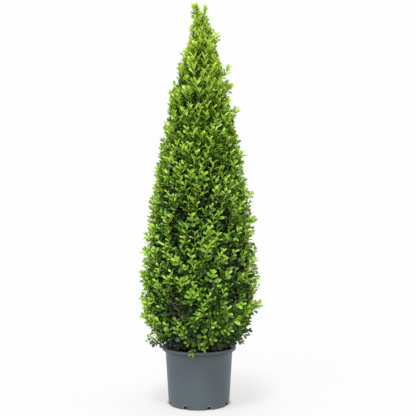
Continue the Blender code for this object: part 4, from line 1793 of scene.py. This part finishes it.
    def side_shoots(self) -> list[Shoot]:
        """The shoots on the crown's side, some proud and bright, some set back and dark.

        Returns:
            The shoots.
        """
        made = []
        for height, angle in self.spread(self.shoot_count, self.foot, self.top, self.shoot_turn):
            height += self.chance.uniform(-self.height_play, self.height_play)
            swerve = self.swerve * (1.0 - self.swerve_loss * self.loft(height))
            turn = angle + self.chance.uniform(-0.5, 0.5) * swerve
            outline = crown_radius(height) - along_curve(CROWN_TRIM, height)
            where = spot_at(angle, outline, height)
            patch = sum(spot.strength(where) for spot in PATCHES)
            thin, full = min(patch, 0.0), max(patch, 0.0)
            cluster = Vector((where.x, where.y, where.z * self.vigour_flatness)) / self.vigour_size
            vigour = 1.0 + self.vigour_fresh * self.vigour * noise.noise(cluster)
            fresh = along_curve(FRESH_SHARE, height) * vigour * (1.0 + thin) + self.tuft_fresh * full
            growth = self.deal(fresh)
            set_out = self.chance.uniform(*SET_OUT[growth]) * min(1.0, outline / self.full_depth)
            set_out += self.thin_depth * thin
            swell = self.lump * noise.noise(where / self.lump_size) * min(1.0, outline / self.full_lumps)
            reach = min(outline + set_out + swell, outline + self.proud)
            rise = self.shoot_rise(height) + self.chance.uniform(-swerve, swerve)
            share = min(1.0, self.shoot_least + (1.0 - self.shoot_least) * outline / self.full_length)
            length = self.chance.uniform(*self.shoot_length) * share
            drift = Vector((along_curve(CROWN_DRIFT, height), 0, 0))
            tip = spot_at(angle, max(reach, self.least_reach), height) + drift
            leaf = self.near_one(self.leaf_play) * along_curve(LEAF_SIZE, height)
            made.append(self.new_shoot(tip, turn, rise, length, growth, leaf))
        return made

    def under_shoots(self) -> list[Shoot]:
        """Dark shoots on the crown's underside, down to the rim.

        Returns:
            The shoots.
        """
        made = []
        for k in range(self.under_count):
            share = math.sqrt((k + 0.5) / self.under_count)
            angle = GOLDEN_ANGLE * k + self.under_turn
            height = self.under_level + self.chance.uniform(*self.under_play)
            tip = spot_at(angle, self.under_inner + self.under_width * share, height)
            rise = self.chance.uniform(*self.under_rise)
            growth = Growth.SHADED if k % self.under_settled else Growth.SETTLED
            made.append(self.new_shoot(tip, angle, rise, self.under_length, growth, 1.0))
        return made

    def sprigs(self) -> list[Shoot]:
        """The shoots that stand out in their own places, with their leaves to the front.

        Returns:
            The shoots.
        """
        made = []
        for sprig in SPRIGS:
            turn, rise = math.radians(sprig.turn), math.radians(sprig.rise)
            shoot = self.new_shoot(Vector(sprig.tip), turn, rise, sprig.length, sprig.growth, sprig.leaf)
            shoot.gap, shoot.face = sprig.gap, outward(0.0)
            made.append(shoot)
        return made

    def grow(self) -> None:
        """Grows all shoots, the twigs that carry them and the boughs that carry those."""
        shoots = self.side_shoots() + self.under_shoots() + self.sprigs()
        forks = self.forks(self.inner_boughs())
        index = nearest([place for place, _ in forks])
        leader = [(Vector((x, y, z)), radius) for x, y, z, radius in self.leader]
        self.stems[TIERS[-1], Wood.BOUGH].append(leader)
        for shoot in shoots:
            tier = tier_at(shoot.bend)
            bare = shoot.growth is Growth.BARE
            if not bare:
                self.leaf_out(shoot)
            stem = tapered(shoot.foot, shoot.bend, shoot.tip, self.stem_radii, self.stem_steps)
            self.stems[tier, Wood.TWIG if bare else Wood.STEM].append(stem)
            place, heading = forks[index.find(shoot.foot)[1]]
            aim = place.lerp(shoot.foot, 0.5) + heading * self.twig_bow
            twig = tapered(place, aim, shoot.foot, self.twig_radii, self.twig_steps)
            self.stems[tier, Wood.TWIG].append(twig)

    def inner_boughs(self) -> list[tuple[Vector, Vector]]:
        """Grows the boughs inside the crown.

        Returns:
            The tip of each and the way it points.
        """
        ends = []
        for height, angle in self.spread(self.bough_count, CROWN_FOOT, self.bough_top, 0.0):
            outline = crown_radius(height)
            radius = max(outline - self.bough_inset, self.bough_least * outline) * self.bough_share
            foot_height = height - radius * self.bough_climb - self.bough_drop
            foot_height = max(foot_height, SOIL_LEVEL + self.bough_drop)
            foot = self.limbs.trunk_spot(foot_height)
            tip = spot_at(angle, radius, height - self.bough_drop)
            out, up = self.bough_bend
            bend = foot + spot_at(angle, radius * out, (tip.z - foot.z) * up)
            least, growth = self.bough_slim
            girth = self.bough_girth * self.limbs.trunk_size(foot_height)
            thick = girth * min(1.0, least + radius * growth)
            line = tapered(foot, bend, tip, (thick, self.bough_tip_radius), self.bough_steps)
            self.stems[tier_at(tip), Wood.BOUGH].append(line)
            ends.append((tip, (tip - bend).normalized()))
        return ends

    def forks(self, ends: list[tuple[Vector, Vector]]) -> list[tuple[Vector, Vector]]:
        """Grows the forks inside the crown, each joined to a bough and wrapped in old leaves.

        Args:
            ends: The boughs' tips and the ways they point.

        Returns:
            The place of each fork and the way it points.
        """
        index = nearest([tip for tip, _ in ends])
        made = []
        for height, angle in self.spread(self.fork_count, self.fork_foot, self.fork_top, self.fork_turn):
            outline = crown_radius(height)
            radius = max(outline - self.fork_inset, self.fork_least * outline)
            rise = self.shoot_rise(height)
            place = spot_at(angle, radius, height - self.fork_drop * math.sin(max(rise, 0.0)))
            heading = pointing(angle, rise).normalized()
            tip, rising = ends[index.find(place)[1]]
            aim = tip.lerp(place, 0.5) + rising * self.fork_bow
            line = tapered(tip, aim, place, self.fork_radii, self.fork_steps)
            self.stems[tier_at(place), Wood.BOUGH].append(line)
            made.append((place, heading))
            if height < self.fill_top:
                self.fill_round(place, heading, outline)
        return made

    def fill_round(self, place: Vector, heading: Vector, outline: float) -> None:
        """Sets old, shaded leaves all round a fork, so that no light comes through the crown.

        Args:
            place: The fork.
            heading: The way its twigs point.
            outline: The crown's radius there.
        """
        room = outline / self.full_length
        size = self.fill_length * min(1.0, self.fill_least + (1.0 - self.fill_least) * room)
        for k in range(self.fill_count):
            out = Vector([self.chance.gauss(0, 1) for _ in range(3)]).normalized()
            foot = place + out * (self.chance.uniform(*self.fill_reach) * min(1.0, room))
            way = (out + heading * self.fill_heading).normalized()
            shoot = Shoot(foot, foot, foot + way * self.fill_stalk, Growth.HIDDEN, 1.0)
            lean = self.chance.uniform(*self.fill_spread)
            self.add_leaf(shoot, foot, way, way.orthogonal().normalized(), lean, size, k % 2)

    def age(self, shoot: Shoot, order: int) -> float:
        """Age of a leaf from 0, new, to 1, old and shaded.

        Args:
            shoot: The shoot that it grows on.
            order: Its pair, counted from the tip.

        Returns:
            The age, just under 1 at most.
        """
        old = self.old_age * limited((self.old_top - shoot.tip.z) / self.old_reach)
        young = limited((shoot.tip.z - self.young_foot) / self.young_reach)
        start, step = shoot.growth.value
        step *= order * (1.0 - self.young_step * young)
        age = start + step + old - self.young_age * young + self.chance.gauss(0, self.age_play)
        return limited(age, 0.0, self.oldest)

    def finish(self, shoot: Shoot, place: Vector, order: int) -> LeafFinish:
        """Chooses a leaf's finish by its age, from the row that belongs to its height.

        Args:
            shoot: The shoot that it grows on.
            place: Where its tip is.
            order: Its pair, counted from the tip.

        Returns:
            The finish.
        """
        draw, row = self.chance.random(), LEAF_FINISHES
        if draw < (place.z - self.sunlit_foot) / self.sunlit_rise and shoot.growth is Growth.FRESH:
            row = SUNLIT_FINISHES
        elif draw < (self.low_top - place.z) / self.low_reach:
            row = LOW_FINISHES
        return row[int(self.age(shoot, order) * len(row))]

    def leaf_out(self, shoot: Shoot) -> None:
        """Sets crossed pairs of leaves along a shoot, closer together and steeper towards its tip.

        Args:
            shoot: The shoot.
        """
        heading = shoot.heading(0.5)
        side = Vector((0, 0, 1)).cross(heading)
        side = side.normalized() if side.length > 1e-4 else Vector((1, 0, 0))
        side = Matrix.Rotation(self.chance.uniform(-self.first_roll, self.first_roll), 3, heading) @ side
        wide = math.radians(along_curve(LEAF_SPREAD, shoot.tip.z))
        tight = min(self.spread_tip, wide)
        joint = self.joint * shoot.gap * (1.0 - self.joint_loss * self.loft(shoot.tip.z))
        length, back, order = shoot.length, 0.0, 0
        while back < length * self.leafy_share:
            t = 1.0 - back / length
            along = shoot.heading(t)
            side = (side - along * side.dot(along)).normalized()
            spread = tight + (wide - tight) * min(1.0, order / self.spread_pairs)
            least, growth = self.leaf_tip
            size = self.leaf_length * shoot.leaf * min(1.0, least + growth * order)
            for sign in (-1, 1):
                lean = spread + self.chance.uniform(-self.spread_play, self.spread_play)
                blade = size * self.near_one(self.size_play)
                self.add_leaf(shoot, shoot.spot(t), along, side * sign, lean, blade, order)
            quarter = math.pi / 2 + self.chance.uniform(-self.pair_roll, self.pair_roll)
            side = Matrix.Rotation(quarter, 3, along) @ side
            least, growth = self.joint_tip
            back += joint * min(1.0, least + growth * order) * self.near_one(self.joint_play)
            order += 1

    def add_leaf(
        self, shoot: Shoot, place: Vector, along: Vector, side: Vector, spread: float, size: float, order: int
    ) -> None:
        """Records one leaf, unless it would touch the pot or the soil or pass the crown's top.

        Args:
            shoot: The shoot that it grows on.
            place: Where it leaves the stem.
            along: The stem's direction there.
            side: The side of the stem that it leaves on.
            spread: Angle between leaf and stem.
            size: Its length.
            order: Its pair, counted from the tip.
        """
        way = (along * math.cos(spread) + side * math.sin(spread)).normalized()
        face = along * math.sin(spread) - side * math.cos(spread)
        if shoot.face is None:
            face += spot_at(math.atan2(place.x, -place.y), self.light_out, self.light_up) * self.light_pull
        else:
            face += shoot.face * self.face_pull
        face = (face - way * face.dot(way)).normalized()
        face = Matrix.Rotation(self.chance.gauss(0, self.leaf_roll), 3, way) @ face
        middle, end = place + way * (size * 0.5), place + way * size
        finish = self.finish(shoot, end, order)
        wide = size * self.near_one(self.width_play) * (1.0 - self.width_loss * self.loft(place.z))
        if self.clear_of_pot(middle) and self.clear_of_pot(end) and end.z < CROWN_TOP - self.top_gap:
            turn = Matrix((way.cross(face), way, face)).transposed().to_euler()
            self.leaves[tier_at(place), finish].append((place, turn, Vector((wide, size, size))))

    def clear_of_pot(self, place: Vector) -> bool:
        """Tells whether a point of a leaf misses the soil and the pot's wall and lip.

        Args:
            place: The point.

        Returns:
            True where it does.
        """
        radius = math.hypot(place.x, place.y)
        in_soil = place.z < SOIL_LEVEL + self.soil_gap and radius < RIM_RADIUS
        by_wall = self.pot_inside < radius < RIM_RADIUS + self.pot_gap
        return not in_soil and not (place.z < POT_HEIGHT + self.pot_gap and by_wall)

    @staticmethod
    def leaf_mesh(shape: LeafShape) -> bpy.types.Object:
        """A leaf of unit length along +Y, upper face +Z: two halves creased at the rib, the tip bent back.

        Args:
            shape: Its shape.

        Returns:
            The leaf, to be removed after use.
        """
        width, hollow, bend = shape.value
        cupping = 1.4
        # Places along the rib, each with the blade's width there as a share of its widest
        rows = ((0.55, 1.0),) if shape is LeafShape.INNER else ((0.32, 0.54), (0.69, 1.0), (0.92, 0.66))
        built = bmesh.new()

        def corner(x: float, y: float) -> bmesh.types.BMVert:
            """A corner of the blade, raised to the sides and lowered to the tip."""
            lift = hollow * (abs(x) * 2 / width) ** cupping * width
            return built.verts.new((x, y, lift - bend * y * y))

        for side in (-1, 1):
            rib = [corner(0, 0)] + [corner(0, y) for y, _ in rows] + [corner(0, 1)]
            rim = [rib[0]] + [corner(side * share * width / 2, y) for y, share in rows] + [rib[-1]]
            for i in range(len(rows) + 1):
                ring = list(dict.fromkeys((rib[i], rim[i], rim[i + 1], rib[i + 1])))
                built.faces.new(ring if side > 0 else ring[::-1])
        return shown("leaf", mesh_from("leaf", built))

    @staticmethod
    def line_mesh(name: str, lines: list) -> bpy.types.Mesh:
        """A mesh of separate runs of edges with a thickness at every point.

        Args:
            name: Name of the mesh.
            lines: The runs, each a list of places with their radii.

        Returns:
            The mesh.
        """
        places = [place for line in lines for place, _ in line]
        mesh = point_mesh(name, places, thickness=[float(radius) for line in lines for _, radius in line])
        pairs, start = [], 0
        for line in lines:
            pairs += [(start + i, start + i + 1) for i in range(len(line) - 1)]
            start += len(line)
        mesh.edges.add(len(pairs))
        mesh.edges.foreach_set("vertices", [end for pair in pairs for end in pair])
        return mesh

    def build(self, scatter: LeafScatter, tubes: LimbTubes) -> list[bpy.types.Object]:
        """Makes every tier's twigs and leaves.

        Args:
            scatter: The tree that sets leaves on points.
            tubes: The tree that makes twigs.

        Returns:
            The pieces.
        """
        self.grow()
        woods = {wood: wood.value[1].build() for wood in Wood}
        rows = dict.fromkeys(LEAF_FINISHES + SUNLIT_FINISHES + LOW_FINISHES)
        finishes = {finish: finish.build() for finish in rows}
        shapes = {shape: self.leaf_mesh(shape) for shape in LeafShape}
        pieces = []
        for tier in TIERS:
            for wood, material in woods.items():
                name = f"{tier.name}_{wood.name.lower()}s"
                mesh = self.line_mesh(name, self.stems[tier, wood])
                piece = tubes.apply(name, mesh, {"Sides": wood.value[0], "Finish": material})
                pieces.append(piece)
            for finish, material in finishes.items():
                found = self.leaves[tier, finish]
                if not found:
                    continue
                name = f"{tier.name}_leaves_{finish.name}"
                places, turns, sizes = zip(*found)
                mesh = point_mesh(name, list(places), turn=list(turns), size=list(sizes))
                piece = scatter.apply(name, mesh, {"Leaf": shapes[finish.shape], "Finish": material})
                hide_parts(tier.node)
                pieces.append(piece)
        for shape in shapes.values():
            bpy.data.objects.remove(shape)
        for piece in pieces:
            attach(piece, BODY)
        return pieces


@dataclass(frozen=True)
class Lamp:
    """A distant lamp: its strength, and in degrees how wide it looks, how high and where it stands."""

    name: str
    strength: float
    spread: float
    rise: float
    turn: float

    def build(self) -> None:
        """Hangs the lamp. A wide one gives softer shadows."""
        light = bpy.data.lights.new(self.name, "SUN")
        light.energy = self.strength
        light.angle = math.radians(self.spread)
        lamp = bpy.data.objects.new(self.name, light)
        bpy.context.scene.collection.objects.link(lamp)
        towards = pointing(math.radians(self.turn), math.radians(self.rise))
        lamp.rotation_euler = towards.to_track_quat("Z", "Y").to_euler()


@dataclass
class Studio:
    """A pale floor and backdrop, soft light and the camera at the photo's height and distance."""

    camera_place: tuple = (0.034, -2.713, 0.7352)
    lens: float = 61.97
    film_width: float = 36.0
    sky: float = 0.985
    lamps: tuple[Lamp, ...] = (Lamp("soft_key", 5.2, 12, 71, -16), Lamp("soft_fill", 1.5, 60, 32, -22))
    # The floor glows of itself. Two shades dim it where the plant stands over it, one close by
    # and one that reaches farther and is weaker
    floor_size: float = 60.0
    floor_grey: float = 0.070
    floor_glow: float = 0.790
    floor_roughness: float = 0.9
    contact_reach: float = 0.011
    shade_reach: float = 0.30
    shade: float = 0.25

    def floor(self) -> None:
        """Lays the floor."""
        size = self.floor_size
        mesh = bpy.data.meshes.new("studio_floor")
        corners = [(-size, -size, 0), (size, -size, 0), (size, size, 0), (-size, size, 0)]
        mesh.from_pydata(corners, [], [(0, 1, 2, 3)])
        shader = Shader("pale_floor", self.floor_roughness)
        shader.give("Base Color", (self.floor_grey, self.floor_grey, self.floor_grey, 1))
        shader.give("Specular IOR Level", 0.0)
        shader.give("Emission Color", (1.0, 1.0, 1.0, 1.0))
        shades = []
        for reach, low, high in (
            (self.contact_reach, 0.0, 1.0),
            (self.shade_reach, self.floor_glow * (1.0 - self.shade), self.floor_glow),
        ):
            open_sky = add_node(shader.tree, "ShaderNodeAmbientOcclusion", {"Distance": reach})
            shades.append(shader.ranged(open_sky.outputs["AO"], low, high))
        shader.give("Emission Strength", Effects.reckon(shader.tree, "MULTIPLY", *shades))
        mesh.materials.append(shader.material)
        shown("studio_floor", mesh)

    def build(self) -> None:
        """Makes the floor, the lights and the camera."""
        scene = bpy.context.scene
        scene.view_settings.view_transform = "Standard"
        self.floor()
        world = bpy.data.worlds.new("studio_white")
        scene.world = world
        world.use_nodes = True
        sky = world.node_tree.nodes["Background"].inputs
        sky["Color"].default_value = (1.0, 1.0, 1.0, 1.0)
        sky["Strength"].default_value = self.sky
        for lamp in self.lamps:
            lamp.build()
        view = bpy.data.cameras.new("photo_view")
        view.lens = self.lens
        view.sensor_width = self.film_width
        camera = bpy.data.objects.new("photo_view", view)
        camera.location = self.camera_place
        camera.rotation_euler = Euler((math.pi / 2, 0, 0))
        scene.collection.objects.link(camera)
        scene.camera = camera


def report(pieces: list[bpy.types.Object]) -> None:
    """Logs each piece with its number of triangles.

    Args:
        pieces: The pieces.
    """
    for piece in pieces:
        piece.data.calc_loop_triangles()
        LOG.info("%s: %d triangles", piece.name, len(piece.data.loop_triangles))


def main() -> None:
    """Builds the studio, the pot, the soil, the limbs and the crown."""
    logging.basicConfig(level=logging.INFO, format="%(message)s")
    Studio().build()
    report([Pot().build()])
    report(Soil().build(CrumbScatter()))
    limbs = Limbs()
    report(limbs.build(BarkFinish("box_bark", (150, 128, 96), (84, 66, 46), (104, 110, 72))))
    report(Crown(limbs).build(LeafScatter(), LimbTubes()))


if __name__ == "__main__":
    main()
